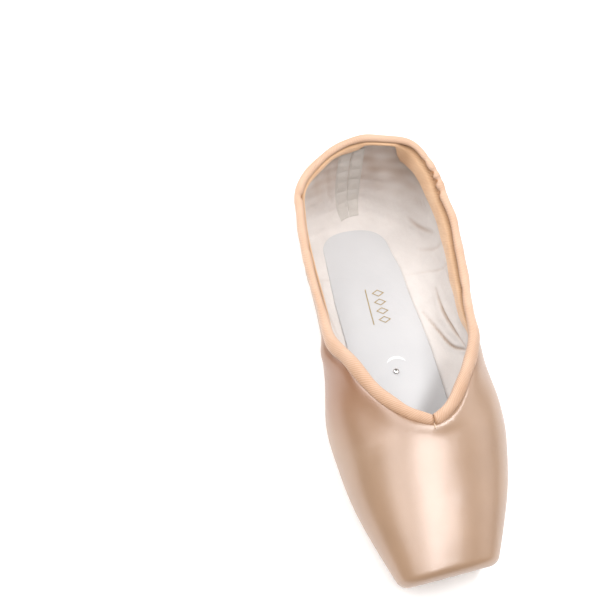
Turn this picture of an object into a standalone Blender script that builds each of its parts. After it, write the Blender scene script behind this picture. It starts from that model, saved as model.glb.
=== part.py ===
"""Pointe shoe, empty and standing on its sole: toe towards -Y, heel towards +Y, metres.

Every piece reads the same last. A place on the last is a run (how far back from the
platform, then round the heel) and a distance out from the middle line. The half section
at a run goes from the middle of the bottom, round the widest point, up to the crown.
"""

import math

import bmesh
import bpy
import numpy as np

# Last: overall sizes
RUN = 0.207
HEEL_DEPTH = 0.038
PLATFORM_WIDTH = 0.048
BALL_WIDTH = 0.089
HEEL_WIDTH = 0.0865
PLATFORM_TOP = 0.029
INSTEP_HEIGHT = 0.0520
HEEL_HEIGHT = 0.068
SIDE_HEIGHT = 0.0455

# Last: bottom and toe
TOE_SPRING = 0.0050
ARCH = 0.0028
PLATFORM_EDGE = 0.0042
PLATFORM_LEAN = 0.0060
LEAN_REACH = 0.045
BALL_FRONT = 0.30 * RUN
BALL_BACK = 0.44 * RUN
HEEL_FRONT = 0.84 * RUN

# Upper
BOX_WALL = 0.0025
QUARTER_WALL = 0.0015
VAMP_LENGTH = 0.069
THROAT_DEPTH = 0.042
WING_END = 0.62 * RUN
BOX_LENGTH = 0.75 * VAMP_LENGTH
WALL_TAPER = 0.75 * VAMP_LENGTH
SEAM_MARGIN = 0.0050

# Outsole and insole
SOLE_THICKNESS = 0.0024
SOLE_TIP = 0.015
SOLE_BALL_WIDTH = 0.047
SOLE_WAIST_WIDTH = 0.025
SOLE_HEEL_WIDTH = 0.034
INSOLE_THICKNESS = 0.0018
INSOLE_TIP = 0.026
INSOLE_WIDTH = 0.045
TIP_ROUND = 0.016

# Binding, drawstring and tack
BINDING_ROLL = 0.0024
BINDING_CLOTH = 0.0009
OUTER_DROP = 0.0046
INNER_DROP = 0.0095
SLIT = 0.0016
STRING_RADIUS = 0.0005
STRING_TAIL = 0.0022
TACK_AT = 0.118
TACK_RADIUS = 0.0016
TACK_FLAT_RADIUS = 0.6 * TACK_RADIUS
TACK_HEIGHT = 0.0006

# Gaps between pieces, and meshing
CLEARANCE = 0.0003
MERGE = 0.00001
FINE = 181
STEP = 0.0002
UPPER_COLUMNS = 15
BEND_WEIGHT = 0.016
STEEPEST = 0.98

# Sections of the last: run, turn round the heel in degrees, half width, height of the
# widest point, height of the crown (past the throat, where the walls would meet), and
# the powers of the lower and upper curves, where 2 is an ellipse and more is squarer
SECTIONS = (
    (0.000 * RUN, 0, 0.50 * PLATFORM_WIDTH, 0.61 * PLATFORM_TOP, 1.00 * PLATFORM_TOP, 2.0, 2.35),
    (0.068 * RUN, 0, 0.335 * BALL_WIDTH, 0.34 * INSTEP_HEIGHT, 0.66 * INSTEP_HEIGHT, 2.3, 2.35),
    (0.193 * RUN, 0, 0.440 * BALL_WIDTH, 0.36 * INSTEP_HEIGHT, 0.84 * INSTEP_HEIGHT, 2.5, 2.25),
    (0.314 * RUN, 0, 0.492 * BALL_WIDTH, 0.38 * INSTEP_HEIGHT, 1.01 * INSTEP_HEIGHT, 2.5, 2.2),
    (0.406 * RUN, 0, 0.512 * BALL_WIDTH, 0.41 * INSTEP_HEIGHT, 1.09 * INSTEP_HEIGHT, 2.5, 2.2),
    (0.507 * RUN, 0, 0.480 * BALL_WIDTH, 0.48 * INSTEP_HEIGHT, 1.19 * INSTEP_HEIGHT, 2.6, 2.2),
    (0.676 * RUN, 0, 0.472 * HEEL_WIDTH, 0.52 * HEEL_HEIGHT, 1.14 * HEEL_HEIGHT, 2.8, 2.2),
    (0.845 * RUN, 0, 0.500 * HEEL_WIDTH, 0.64 * HEEL_HEIGHT, 1.34 * HEEL_HEIGHT, 2.9, 2.3),
    (1.000 * RUN, 0, 0.500 * HEEL_WIDTH, 0.68 * HEEL_HEIGHT, 1.48 * HEEL_HEIGHT, 3.0, 2.4),
    (1.000 * RUN, 45, 1.010 * HEEL_DEPTH, 0.60 * HEEL_HEIGHT, 1.52 * HEEL_HEIGHT, 3.0, 2.5),
    (1.000 * RUN, 90, 1.000 * HEEL_DEPTH, 0.46 * HEEL_HEIGHT, 1.52 * HEEL_HEIGHT, 3.0, 2.6),
)

# Edge of the vamp: how far behind the throat, and how far out from the middle line
THROAT_EDGE = (
    (0.00 * THROAT_DEPTH, 0.000 * BALL_WIDTH),
    (0.10 * THROAT_DEPTH, 0.090 * BALL_WIDTH),
    (0.25 * THROAT_DEPTH, 0.180 * BALL_WIDTH),
    (0.50 * THROAT_DEPTH, 0.275 * BALL_WIDTH),
    (0.80 * THROAT_DEPTH, 0.350 * BALL_WIDTH),
)

# Topline behind the vamp: run, turn round the heel in degrees, and height
COLLAR_EDGE = (
    (0.60 * RUN, 0, 1.03 * SIDE_HEIGHT),
    (0.72 * RUN, 0, 1.00 * SIDE_HEIGHT),
    (0.86 * RUN, 0, 1.07 * SIDE_HEIGHT),
    (1.00 * RUN, 0, 0.81 * HEEL_HEIGHT),
    (1.00 * RUN, 45, 0.94 * HEEL_HEIGHT),
    (1.00 * RUN, 90, 1.00 * HEEL_HEIGHT),
)

# Outlines of the soles: run, turn round the heel in degrees, and half width
OUTSOLE_EDGE = (
    (0.072 * RUN, 0, 0.38 * SOLE_BALL_WIDTH),
    (0.190 * RUN, 0, 0.46 * SOLE_BALL_WIDTH),
    (0.340 * RUN, 0, 0.50 * SOLE_BALL_WIDTH),
    (0.500 * RUN, 0, 0.36 * SOLE_BALL_WIDTH),
    (0.660 * RUN, 0, 0.50 * SOLE_WAIST_WIDTH),
    (0.850 * RUN, 0, 0.43 * SOLE_HEEL_WIDTH),
    (1.000 * RUN, 0, 0.50 * SOLE_HEEL_WIDTH),
    (1.000 * RUN, 45, 0.57 * SOLE_HEEL_WIDTH),
    (1.000 * RUN, 90, 0.62 * HEEL_DEPTH),
)
INSOLE_EDGE = (
    (0.125 * RUN, 0, 0.42 * INSOLE_WIDTH),
    (0.250 * RUN, 0, 0.53 * INSOLE_WIDTH),
    (0.400 * RUN, 0, 0.57 * INSOLE_WIDTH),
    (0.560 * RUN, 0, 0.53 * INSOLE_WIDTH),
    (0.760 * RUN, 0, 0.50 * INSOLE_WIDTH),
    (1.000 * RUN, 0, 0.48 * INSOLE_WIDTH),
    (1.000 * RUN, 45, 0.50 * INSOLE_WIDTH),
    (1.000 * RUN, 90, 0.60 * HEEL_DEPTH),
)

# Half sections of the soles: share of the half width, share of the way from the bottom
# face to the top face, and how much of the thickness the edge is worn up by
OUTSOLE_SECTION = (
    (0.00, 0, 0.00),
    (0.45, 0, 0.00),
    (0.80, 0, 0.00),
    (0.94, 0, 0.12),
    (1.00, 0, 0.45),
    (1.00, 1, 0.00),
    (0.80, 1, 0.00),
    (0.45, 1, 0.00),
    (0.00, 1, 0.00),
)
INSOLE_SECTION = (
    (0.00, 0, 0.00),
    (0.45, 0, 0.00),
    (0.80, 0, 0.00),
    (1.00, 0, 0.00),
    (1.00, 1, -0.30),
    (0.96, 1, 0.00),
    (0.55, 1, 0.00),
    (0.00, 1, 0.00),
)

# Binding section: side of the wall it is on (1 outside, -1 inside, 0 over the edge), how
# far it stands off that side, and how far up from the edge of the wall
BINDING_SECTION = (
    (1, 0.00 * BINDING_ROLL, -1.00 * OUTER_DROP),
    (1, 1.00 * BINDING_CLOTH, -1.00 * OUTER_DROP),
    (1, 0.78 * BINDING_ROLL, -0.64 * OUTER_DROP),
    (1, 1.00 * BINDING_ROLL, -0.28 * OUTER_DROP),
    (1, 0.72 * BINDING_ROLL, 0.38 * BINDING_ROLL),
    (0, 0.00 * BINDING_ROLL, 1.00 * BINDING_ROLL),
    (-1, 0.62 * BINDING_ROLL, 0.42 * BINDING_ROLL),
    (-1, 0.82 * BINDING_ROLL, -0.26 * OUTER_DROP),
    (-1, 0.90 * BINDING_CLOTH, -0.50 * OUTER_DROP),
    (-1, 1.30 * BINDING_CLOTH, -0.75 * INNER_DROP),
    (-1, 1.00 * BINDING_CLOTH, -1.00 * INNER_DROP),
    (-1, 0.00 * BINDING_CLOTH, -1.00 * INNER_DROP),
    (-1, 0.00 * BINDING_CLOTH, -0.50 * INNER_DROP),
    (-1, 0.00 * BINDING_CLOTH, 1.00 * CLEARANCE),
    (1, 0.00 * BINDING_CLOTH, 1.00 * CLEARANCE),
    (1, 0.00 * BINDING_CLOTH, -0.50 * OUTER_DROP),
)

# Drawstring through the slit, as the binding section is given
STRING_ROUTE = (
    (-1, 0.50 * BINDING_ROLL, -0.86 * INNER_DROP),
    (-1, 0.62 * BINDING_ROLL, -0.50 * INNER_DROP),
    (-1, 0.62 * BINDING_ROLL, -0.12 * INNER_DROP),
    (-1, 0.20 * BINDING_ROLL, 0.44 * BINDING_ROLL),
    (0, 0.00 * BINDING_ROLL, 0.62 * BINDING_ROLL),
    (1, 0.20 * BINDING_ROLL, 0.40 * BINDING_ROLL),
    (1, 0.60 * BINDING_ROLL, -0.20 * OUTER_DROP),
    (1, 0.62 * BINDING_ROLL, -0.62 * OUTER_DROP),
    (1, 0.45 * BINDING_ROLL, -1.00 * OUTER_DROP),
    (1, 0.36 * BINDING_ROLL, -1.00 * OUTER_DROP - STRING_TAIL),
)


def natural_curve(knots, values):
    """The smooth curve through the values at the knots, straight at both ends."""
    knots = np.array(knots, float)
    values = np.array(values, float)
    spans = np.diff(knots)
    count = len(knots)
    system = np.eye(count)
    right = np.zeros(values.shape)
    for i in range(1, count - 1):
        system[i, i - 1 : i + 2] = spans[i - 1], 2 * (spans[i - 1] + spans[i]), spans[i]
        after = (values[i + 1] - values[i]) / spans[i]
        before = (values[i] - values[i - 1]) / spans[i - 1]
        right[i] = 6 * (after - before)
    bends = np.linalg.solve(system, right)

    def at(place):
        i = int(np.clip(np.searchsorted(knots, place) - 1, 0, count - 2))
        span = spans[i]
        back = (knots[i + 1] - place) / span
        ahead = (place - knots[i]) / span
        curl = (back**3 - back) * bends[i] + (ahead**3 - ahead) * bends[i + 1]
        return back * values[i] + ahead * values[i + 1] + curl * span**2 / 6

    return at


def ease(share):
    """0 to 1, with a level start and end."""
    share = min(max(share, 0.0), 1.0)
    return share * share * (3 - 2 * share)


def run_of(run, turn):
    """Run of a place that is turned some degrees round the heel."""
    return run + math.radians(turn) * HEEL_DEPTH


HEEL_END = run_of(RUN, 90)


def round_heel(runs, values):
    """The smooth curve through the values, going on round the heel as it came."""
    past = [i for i in range(len(runs) - 1) if runs[i] >= RUN][::-1]
    runs = list(runs) + [2 * HEEL_END - runs[i] for i in past]
    values = list(values) + [values[i] for i in past]
    return natural_curve(runs, values)


SECTION_AT = round_heel([run_of(*row[:2]) for row in SECTIONS], [row[2:] for row in SECTIONS])


def rise(run):
    """Height of the outsole's underside: toe spring, flat ball, arch, flat heel."""
    if run < BALL_FRONT:
        return TOE_SPRING * ((BALL_FRONT - run) / BALL_FRONT) ** 2
    if BALL_BACK < run < HEEL_FRONT:
        return ARCH * math.sin(math.pi * (run - BALL_BACK) / (HEEL_FRONT - BALL_BACK)) ** 2
    return 0.0


def base(run):
    """Height of the upper's outer skin on the middle line of the bottom."""
    return rise(run) + SOLE_THICKNESS + CLEARANCE


def wall(run):
    """Thickness of the upper: a stiff box, then thin quarters."""
    share = ease((run - BOX_LENGTH) / WALL_TAPER)
    return BOX_WALL + (QUARTER_WALL - BOX_WALL) * share


def section(run):
    """Half section from the bottom to the crown: distance out, height, length so far."""
    half, widest, crown, low, high = SECTION_AT(run)
    angle = np.linspace(0, math.pi, FINE)
    lower = angle < math.pi / 2
    power = np.where(lower, 2 / low, 2 / high)
    out = half * np.abs(np.sin(angle)) ** power
    out[-1] = 0.0
    lift = np.abs(np.cos(angle)) ** power
    height = np.where(lower, widest - (widest - base(run)) * lift, widest + (crown - widest) * lift)
    length = np.concatenate([[0], np.cumsum(np.hypot(np.diff(out), np.diff(height)))])
    return out, height, length


def spread_columns(run, low, high):
    """Lengths of half section at the columns from low to high, closer where it bends."""
    out, height, length = section(run)
    turning = np.unwrap(np.arctan2(np.diff(height), np.diff(out)))
    effort = length + BEND_WEIGHT * np.concatenate([[0], np.abs(turning - turning[0])])
    start, end = np.interp([low, high], length, effort)
    return np.interp(np.linspace(start, end, UPPER_COLUMNS + 1), effort, length)


def place(run, out, height):
    """The point of the shoe at a run, a distance out and a height."""
    if run > RUN:
        angle = (run - RUN) / HEEL_DEPTH
        return np.array([out * math.cos(angle), RUN + out * math.sin(angle), height])
    fade = max(0.0, 1 - run / LEAN_REACH) ** 2
    lean = PLATFORM_LEAN * fade * (height - base(run)) / (PLATFORM_TOP - base(0))
    return np.array([out, run - lean, height])


def cover_at_width(run, width):
    """Share of the half section above the widest point that is left at a half opening."""
    out, _, length = section(run)
    top = FINE // 2
    reach = np.interp(width, out[top:][::-1], length[top:][::-1])
    return (reach - length[top]) / (length[-1] - length[top])


def cover_at_height(run, height):
    """The same share where the half section reaches a height."""
    _, heights, length = section(run)
    top = FINE // 2
    reach = np.interp(height, heights[top:], length[top:])
    return (reach - length[top]) / (length[-1] - length[top])


def topline():
    """Curve of run to covered share, along the vamp's edge and then the collar."""
    rows = [(VAMP_LENGTH + back, cover_at_width(VAMP_LENGTH + back, width)) for back, width in THROAT_EDGE]
    for along, turn, height in COLLAR_EDGE:
        rows.append((run_of(along, turn), cover_at_height(run_of(along, turn), height)))
    return round_heel([row[0] for row in rows], [row[1] for row in rows])


COVER_AT = topline()


def from_crown(run):
    """Length of half section that is open above the upper's edge."""
    if run <= VAMP_LENGTH:
        return 0.0
    _, _, length = section(run)
    return (1 - COVER_AT(run)) * (length[-1] - length[FINE // 2])


def outline(table, tip):
    """Half width of a sole at a run, with a round tip."""
    curve = round_heel([run_of(*row[:2]) for row in table], [row[2] for row in table])

    def half_width(run, inset=0.0):
        share = min(max((run - tip - inset) / TIP_ROUND, 0.0), 1.0)
        return (curve(run) - inset) * math.sqrt(1 - (1 - share) ** 2)

    return half_width


OUTSOLE_HALF = outline(OUTSOLE_EDGE, SOLE_TIP)
INSOLE_HALF = outline(INSOLE_EDGE, INSOLE_TIP)


def from_bottom(run):
    """Length of half section that the sole closes below the upper's edge."""
    out, _, length = section(run)
    low = FINE // 2 + 1
    return np.interp(OUTSOLE_HALF(run, SEAM_MARGIN), out[:low], length[:low])


def skin(run, crown_length):
    """Point of the upper's outer skin, a length of section away from the crown."""
    out, height, length = section(run)
    reach = length[-1] - crown_length
    return place(run, np.interp(reach, length, out), np.interp(reach, length, height))


def skin_frame(run, crown_length):
    """Skin point, its two slopes (back and away from the crown) and its outward normal."""
    point = skin(run, crown_length)
    back = (skin(run + STEP, crown_length) - skin(run - STEP, crown_length)) / (2 * STEP)
    if crown_length < STEP:
        down = np.array([1.0, 0.0, 0.0])
        back[0] = 0.0
    else:
        down = (skin(run, crown_length + STEP) - skin(run, crown_length - STEP)) / (2 * STEP)
    normal = np.cross(down, back)
    return point, back, down, normal / np.linalg.norm(normal)


def underside(run, out):
    """Height and steepness of the upper's outer skin, a distance out on the bottom."""
    half, widest, _, low, _ = SECTION_AT(run)
    share = min(out / half, STEEPEST)
    depth = widest - base(run)
    drop = (1 - share**low) ** (1 / low)
    slope = depth / half * share ** (low - 1) * (1 - share**low) ** (1 / low - 1)
    return widest - depth * drop, math.hypot(1, slope)


def clear(name):
    """A new scene collection, after removing what the scene held."""
    for obj in list(bpy.data.objects):
        bpy.data.objects.remove(obj, do_unlink=True)
    group = bpy.data.collections.new(name)
    bpy.context.scene.collection.children.link(group)
    return group


def finish(name, color, roughness, metallic=0.0):
    """A plain material."""
    material = bpy.data.materials.new(name)
    material.use_nodes = True
    shader = material.node_tree.nodes["Principled BSDF"]
    shader.inputs["Base Color"].default_value = (*color, 1.0)
    shader.inputs["Roughness"].default_value = roughness
    shader.inputs["Metallic"].default_value = metallic
    return material


def half_grid(columns, rows, point_at, weight_at=None):
    """A bmesh grid whose points are placed by row and column, welded where they meet."""
    grid = bmesh.new()
    bmesh.ops.create_grid(grid, x_segments=columns, y_segments=rows, size=0.5)
    layer = grid.verts.layers.deform.verify()
    for vert in grid.verts:
        column = round((vert.co.x + 0.5) * columns)
        row = round((vert.co.y + 0.5) * rows)
        vert.co = point_at(row, column)
        if weight_at:
            vert[layer][0] = weight_at(row)
    bmesh.ops.remove_doubles(grid, verts=grid.verts, dist=MERGE)
    return grid


def add_piece(group, name, grid, material):
    """An object from a bmesh, smooth, in the shoe's collection."""
    mesh = bpy.data.meshes.new(name)
    grid.to_mesh(mesh)
    grid.free()
    mesh.shade_smooth()
    mesh.materials.append(material)
    piece = bpy.data.objects.new(name, mesh)
    group.objects.link(piece)
    return piece


def mirror(piece):
    """The other half of a piece, welded along the middle."""
    other = piece.modifiers.new("Other half", "MIRROR")
    other.merge_threshold = MERGE
    return other


def stretch(start, end, count, crowd=0.0):
    """Runs after the start, up to the end, crowded towards the start."""
    shares = [(i + 1) / count for i in range(count)]
    return [start + (end - start) * ((1 - crowd) * s + crowd * s * s) for s in shares]


def front_rows():
    """Rows of the platform: run, spread of its face, and inset of its round edge."""
    rows = [(0.0, spread, PLATFORM_EDGE) for spread in (0.0, 0.5, 1.0)]
    for angle in (30, 60, 90):
        back = PLATFORM_EDGE * (1 - math.cos(math.radians(angle)))
        inset = PLATFORM_EDGE * (1 - math.sin(math.radians(angle)))
        rows.append((back, 1.0, inset))
    return rows


def upper_runs():
    """Runs of the rows behind the platform."""
    runs = stretch(PLATFORM_EDGE, SOLE_TIP + SEAM_MARGIN, 3)
    runs += stretch(runs[-1], VAMP_LENGTH, 9, 0.6)
    runs += open_runs()[1:]
    return runs


def open_runs():
    """Runs of the rows from the throat to the back seam, where the upper has a topline."""
    runs = [VAMP_LENGTH]
    runs += stretch(runs[-1], VAMP_LENGTH + THROAT_DEPTH, 12, 0.7)
    runs += stretch(runs[-1], WING_END, 4)
    runs += stretch(runs[-1], RUN, 8)
    runs += stretch(runs[-1], HEEL_END, 11)
    return runs


def front_point(row, reach):
    """Point of the platform or of its edge, at a length up the half section."""
    back, spread, inset = row
    out, height, length = section(PLATFORM_EDGE)
    middle = (height[0] + height[-1]) / 2
    half_height = (height[-1] - height[0]) / 2
    width = np.interp(reach, length, out) * spread * (1 - inset / out.max())
    tall = (np.interp(reach, length, height) - middle) * spread * (1 - inset / half_height)
    return place(back, width, middle + tall)


def make_upper(group):
    """Satin upper: a closed box at the toe, open above at the throat and below at the sole."""
    front = front_rows()
    runs = upper_runs()

    def reaches(run):
        _, _, length = section(run)
        return length[-1], spread_columns(run, from_bottom(run), length[-1] - from_crown(run))

    front_reach = reaches(PLATFORM_EDGE)
    run_reach = [reaches(run) for run in runs]

    def point_at(row, column):
        if row < len(front):
            return front_point(front[row], front_reach[1][column])
        total, columns = run_reach[row - len(front)]
        return skin(runs[row - len(front)], total - columns[column])

    def weight_at(row):
        return wall(runs[row - len(front)] if row >= len(front) else 0.0) / BOX_WALL

    grid = half_grid(UPPER_COLUMNS, len(front) + len(runs) - 1, point_at, weight_at)
    bmesh.ops.reverse_faces(grid, faces=grid.faces)
    piece = add_piece(group, "upper", grid, finish("Peach satin", (0.66, 0.45, 0.31), 0.35))
    piece.vertex_groups.new(name="wall")
    mirror(piece)
    solid = piece.modifiers.new("Wall", "SOLIDIFY")
    solid.thickness = BOX_WALL
    solid.offset = -1
    solid.vertex_group = "wall"
    return piece


def edge_point(run, side, off, up):
    """A point beside the upper's edge, given as in the binding section."""
    point, back, down, normal = skin_frame(run, from_crown(run))
    if run <= VAMP_LENGTH:
        ahead = skin(run + STEP, from_crown(run + STEP)) - point
        climb = back / np.linalg.norm(back)
        stretch_up = np.linalg.norm(ahead) / abs(ahead[0])
    else:
        before = skin(run - STEP, from_crown(run - STEP))
        ahead = skin(run + STEP, from_crown(run + STEP)) - before
        climb = np.cross(normal, ahead)
        climb *= -np.sign(climb @ down) / np.linalg.norm(climb)
        stretch_up = 1.0
    if up < 0:
        slopes = np.stack([back, down], 1)
        along, away = np.linalg.lstsq(slopes, climb * up * stretch_up, rcond=None)[0]
        away = max(from_crown(run) + away, 0.0) if run > VAMP_LENGTH else 0.0
        point, _, _, normal = skin_frame(run + along, away)
        up = 0.0
        run += along
    thickness = wall(run)
    outward = {1: CLEARANCE + off, 0: -thickness / 2, -1: -thickness - CLEARANCE - off}[side]
    return point + climb * up * stretch_up + normal * outward


def make_binding(group):
    """Bias binding folded over the topline, with a round casing and a slit at the throat."""
    runs = open_runs()
    along_edge = skin(runs[0] + STEP, from_crown(runs[0] + STEP)) - skin(runs[0], 0.0)

    def point_at(row, column):
        point = edge_point(runs[row], *BINDING_SECTION[column % len(BINDING_SECTION)])
        if row == 0:
            point += along_edge * SLIT / 2 / along_edge[0]
        if row == len(runs) - 1:
            point[0] = 0.0
        return point

    grid = half_grid(len(BINDING_SECTION), len(runs) - 1, point_at)
    at_slit = [e for e in grid.edges if e.is_boundary and all(v.co.y < RUN for v in e.verts)]
    bmesh.ops.contextual_create(grid, geom=at_slit)
    bmesh.ops.recalc_face_normals(grid, faces=grid.faces)
    piece = add_piece(group, "collar_binding", grid, finish("Peach twill", (0.86, 0.60, 0.38), 0.6))
    mirror(piece)
    return piece


def make_sole(group, name, half_width, start, levels, profile, material):
    """A sole: its half section swept from its tip to the back of the heel."""
    runs = [start] + stretch(start, start + TIP_ROUND, 5, 0.7)
    runs += [run for run in upper_runs() if run > runs[-1] + MERGE]

    def point_at(row, column):
        run = runs[row]
        width, face, wear = profile[column]
        out = width * half_width(run)
        low, high = levels(run, out)
        return place(run, out, (high if face else low) + wear * (high - low))

    grid = half_grid(len(profile) - 1, len(runs) - 1, point_at)
    bmesh.ops.recalc_face_normals(grid, faces=grid.faces)
    piece = add_piece(group, name, grid, material)
    mirror(piece)
    return piece


def outsole_levels(run, out):
    """Heights of the outsole's two faces."""
    height, steep = underside(run, out)
    return rise(run), height - CLEARANCE * steep


def insole_levels(run, out):
    """Heights of the insole's two faces: curved to the upper below, level across above."""
    height, steep = underside(run, out)
    level_run = min(run, RUN)
    edge_height, edge_steep = underside(level_run, INSOLE_HALF(level_run))
    lift = wall(run) + CLEARANCE
    return height + lift * steep, edge_height + lift * edge_steep + INSOLE_THICKNESS


def make_drawstring(group):
    """The drawstring where it comes out through the slit, its end tucked flat."""
    path = bpy.data.curves.new("drawstring", "CURVE")
    path.dimensions = "3D"
    path.bevel_depth = STRING_RADIUS
    path.bevel_resolution = 2
    path.use_fill_caps = True
    line = path.splines.new("POLY")
    line.points.add(len(STRING_ROUTE) - 1)
    for point, row in zip(line.points, STRING_ROUTE):
        point.co = (*edge_point(VAMP_LENGTH, *row), 1.0)
    path.materials.append(finish("Cotton cord", (0.85, 0.78, 0.70), 0.8))
    piece = bpy.data.objects.new("drawstring", path)
    group.objects.link(piece)
    return piece


def make_tack(group):
    """Domed nail head in the middle of the insole."""
    _, floor_here = insole_levels(TACK_AT, 0.0)
    head = bmesh.new()
    bmesh.ops.create_cone(
        head,
        cap_ends=True,
        segments=16,
        radius1=TACK_RADIUS,
        radius2=TACK_FLAT_RADIUS,
        depth=TACK_HEIGHT,
    )
    middle = (0.0, TACK_AT, floor_here + CLEARANCE + TACK_HEIGHT / 2)
    bmesh.ops.translate(head, verts=head.verts, vec=middle)
    return add_piece(group, "insole_tack", head, finish("Nickel", (0.75, 0.75, 0.74), 0.3, 1.0))


def center(pieces):
    """Moves the shoe so that the middle of its box, on the floor, is the origin."""
    bpy.context.view_layer.update()
    graph = bpy.context.evaluated_depsgraph_get()
    points = []
    for piece in pieces:
        made = piece.evaluated_get(graph)
        points += [vert.co[:] for vert in made.to_mesh().vertices]
        made.to_mesh_clear()
    low = np.min(points, axis=0)
    high = np.max(points, axis=0)
    shift = (-(low[0] + high[0]) / 2, -(low[1] + high[1]) / 2, -low[2])
    for piece in pieces:
        piece.location = shift


def main():
    group = clear("pointe_shoe")
    leather = finish("Suede leather", (0.62, 0.50, 0.38), 0.85)
    board = finish("White board", (0.84, 0.83, 0.83), 0.6)
    pieces = [
        make_upper(group),
        make_sole(group, "outsole", OUTSOLE_HALF, SOLE_TIP, outsole_levels, OUTSOLE_SECTION, leather),
        make_sole(group, "insole", INSOLE_HALF, INSOLE_TIP, insole_levels, INSOLE_SECTION, board),
        make_binding(group),
        make_drawstring(group),
        make_tack(group),
    ]
    center(pieces)


main()
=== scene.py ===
"""Looks of a satin pointe shoe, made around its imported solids.

Lengths are metres in the shoe's frame: toe towards -Y, heel towards +Y, floor at Z 0.
A place on the last is a run, from the platform back and then round the heel, with a
length round the half section. Side 1 is towards +X and side -1 towards -X.
"""

import functools
import math

import bmesh
import bpy
import numpy as np
from mathutils import Matrix, Vector


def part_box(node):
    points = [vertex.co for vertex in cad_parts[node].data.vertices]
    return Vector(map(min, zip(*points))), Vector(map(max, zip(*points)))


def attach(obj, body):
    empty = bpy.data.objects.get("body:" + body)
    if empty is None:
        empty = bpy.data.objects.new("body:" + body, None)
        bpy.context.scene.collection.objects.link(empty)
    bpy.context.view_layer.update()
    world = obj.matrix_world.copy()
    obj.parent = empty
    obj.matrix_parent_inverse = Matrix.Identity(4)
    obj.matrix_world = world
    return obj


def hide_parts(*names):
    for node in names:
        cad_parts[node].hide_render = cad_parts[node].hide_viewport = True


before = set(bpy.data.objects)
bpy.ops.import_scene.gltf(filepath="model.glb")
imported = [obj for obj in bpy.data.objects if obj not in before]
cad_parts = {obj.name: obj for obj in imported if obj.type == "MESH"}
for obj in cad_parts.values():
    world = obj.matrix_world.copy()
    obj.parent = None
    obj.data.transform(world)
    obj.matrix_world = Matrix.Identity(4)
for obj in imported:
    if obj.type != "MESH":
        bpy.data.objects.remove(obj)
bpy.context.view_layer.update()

# Last, as the solids have it
RUN = 0.207
HEEL_DEPTH = 0.038
HEEL_END = RUN + math.pi / 2 * HEEL_DEPTH
PLATFORM_WIDTH = 0.048
BALL_WIDTH = 0.089
HEEL_WIDTH = 0.0865
PLATFORM_TOP = 0.029
INSTEP_HEIGHT = 0.0520
HEEL_HEIGHT = 0.068
SIDE_HEIGHT = 0.0455
TOE_SPRING = 0.0050
ARCH = 0.0028
PLATFORM_EDGE = 0.0042
PLATFORM_LEAN = 0.0060
LEAN_REACH = 0.045
BALL_FRONT = 0.30 * RUN
BALL_BACK = 0.44 * RUN
HEEL_FRONT = 0.84 * RUN

# Pieces, as the solids have them
BOX_WALL = 0.0025
QUARTER_WALL = 0.0015
VAMP_LENGTH = 0.069
THROAT_DEPTH = 0.042
BOX_LENGTH = 0.75 * VAMP_LENGTH
WALL_TAPER = 0.75 * VAMP_LENGTH
SEAM_MARGIN = 0.0050
SOLE_THICKNESS = 0.0024
SOLE_TIP = 0.015
SOLE_BALL_WIDTH = 0.047
SOLE_WAIST_WIDTH = 0.025
SOLE_HEEL_WIDTH = 0.034
INSOLE_THICKNESS = 0.0018
INSOLE_TIP = 0.026
INSOLE_WIDTH = 0.045
TIP_ROUND = 0.016
BINDING_ROLL = 0.0024
BINDING_CLOTH = 0.0009
OUTER_DROP = 0.0046
INNER_DROP = 0.0095
SLIT = 0.0016
TACK_AT = 0.118
TACK_RADIUS = 0.0016
CLEARANCE = 0.0003

# Where run 0 is in the frame
TACK_LOW, TACK_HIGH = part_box("insole_tack")
RUN_START = (TACK_LOW.y + TACK_HIGH.y) / 2 - TACK_AT

# Looks: cloth, seams and stitches
STRING_TAIL = 0.0006
STRING_LOOK = 0.0004
SATIN_CLOTH = 0.0006
LINING_CLOTH = 0.0004
TAPE_CLOTH = 0.0004
SEAM_SHIFT = 0.0075
SEAM_WIDTH = 0.0011
STITCH_LENGTH = 0.0017
STITCH_GAP = 0.0007
STITCH_RADIUS = 0.00016
RIB_PITCH = 0.0011

# Fineness
FINE = 181
STEP = 0.0002
MERGE = 0.00001
BEND_WEIGHT = 0.016
STEEPEST = 0.98
SATIN_COLUMNS = 64
LINING_COLUMNS = 78
CROWD = 0.35
FRONT_SWEEP = math.radians(70)
FRONT_STEPS = 9
FACE_ROWS = 9
EDGE_SPACING = 0.0010

# Camera, from the photograph's outline of the shoe
CAMERA_AT = (-0.1095, -0.2610, 0.4364)
CAMERA_TURN = math.radians(-11.46)
CAMERA_TILT = math.radians(36.905)
CAMERA_ROLL = math.radians(4.18)
CAMERA_LENS = 55.0

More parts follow.
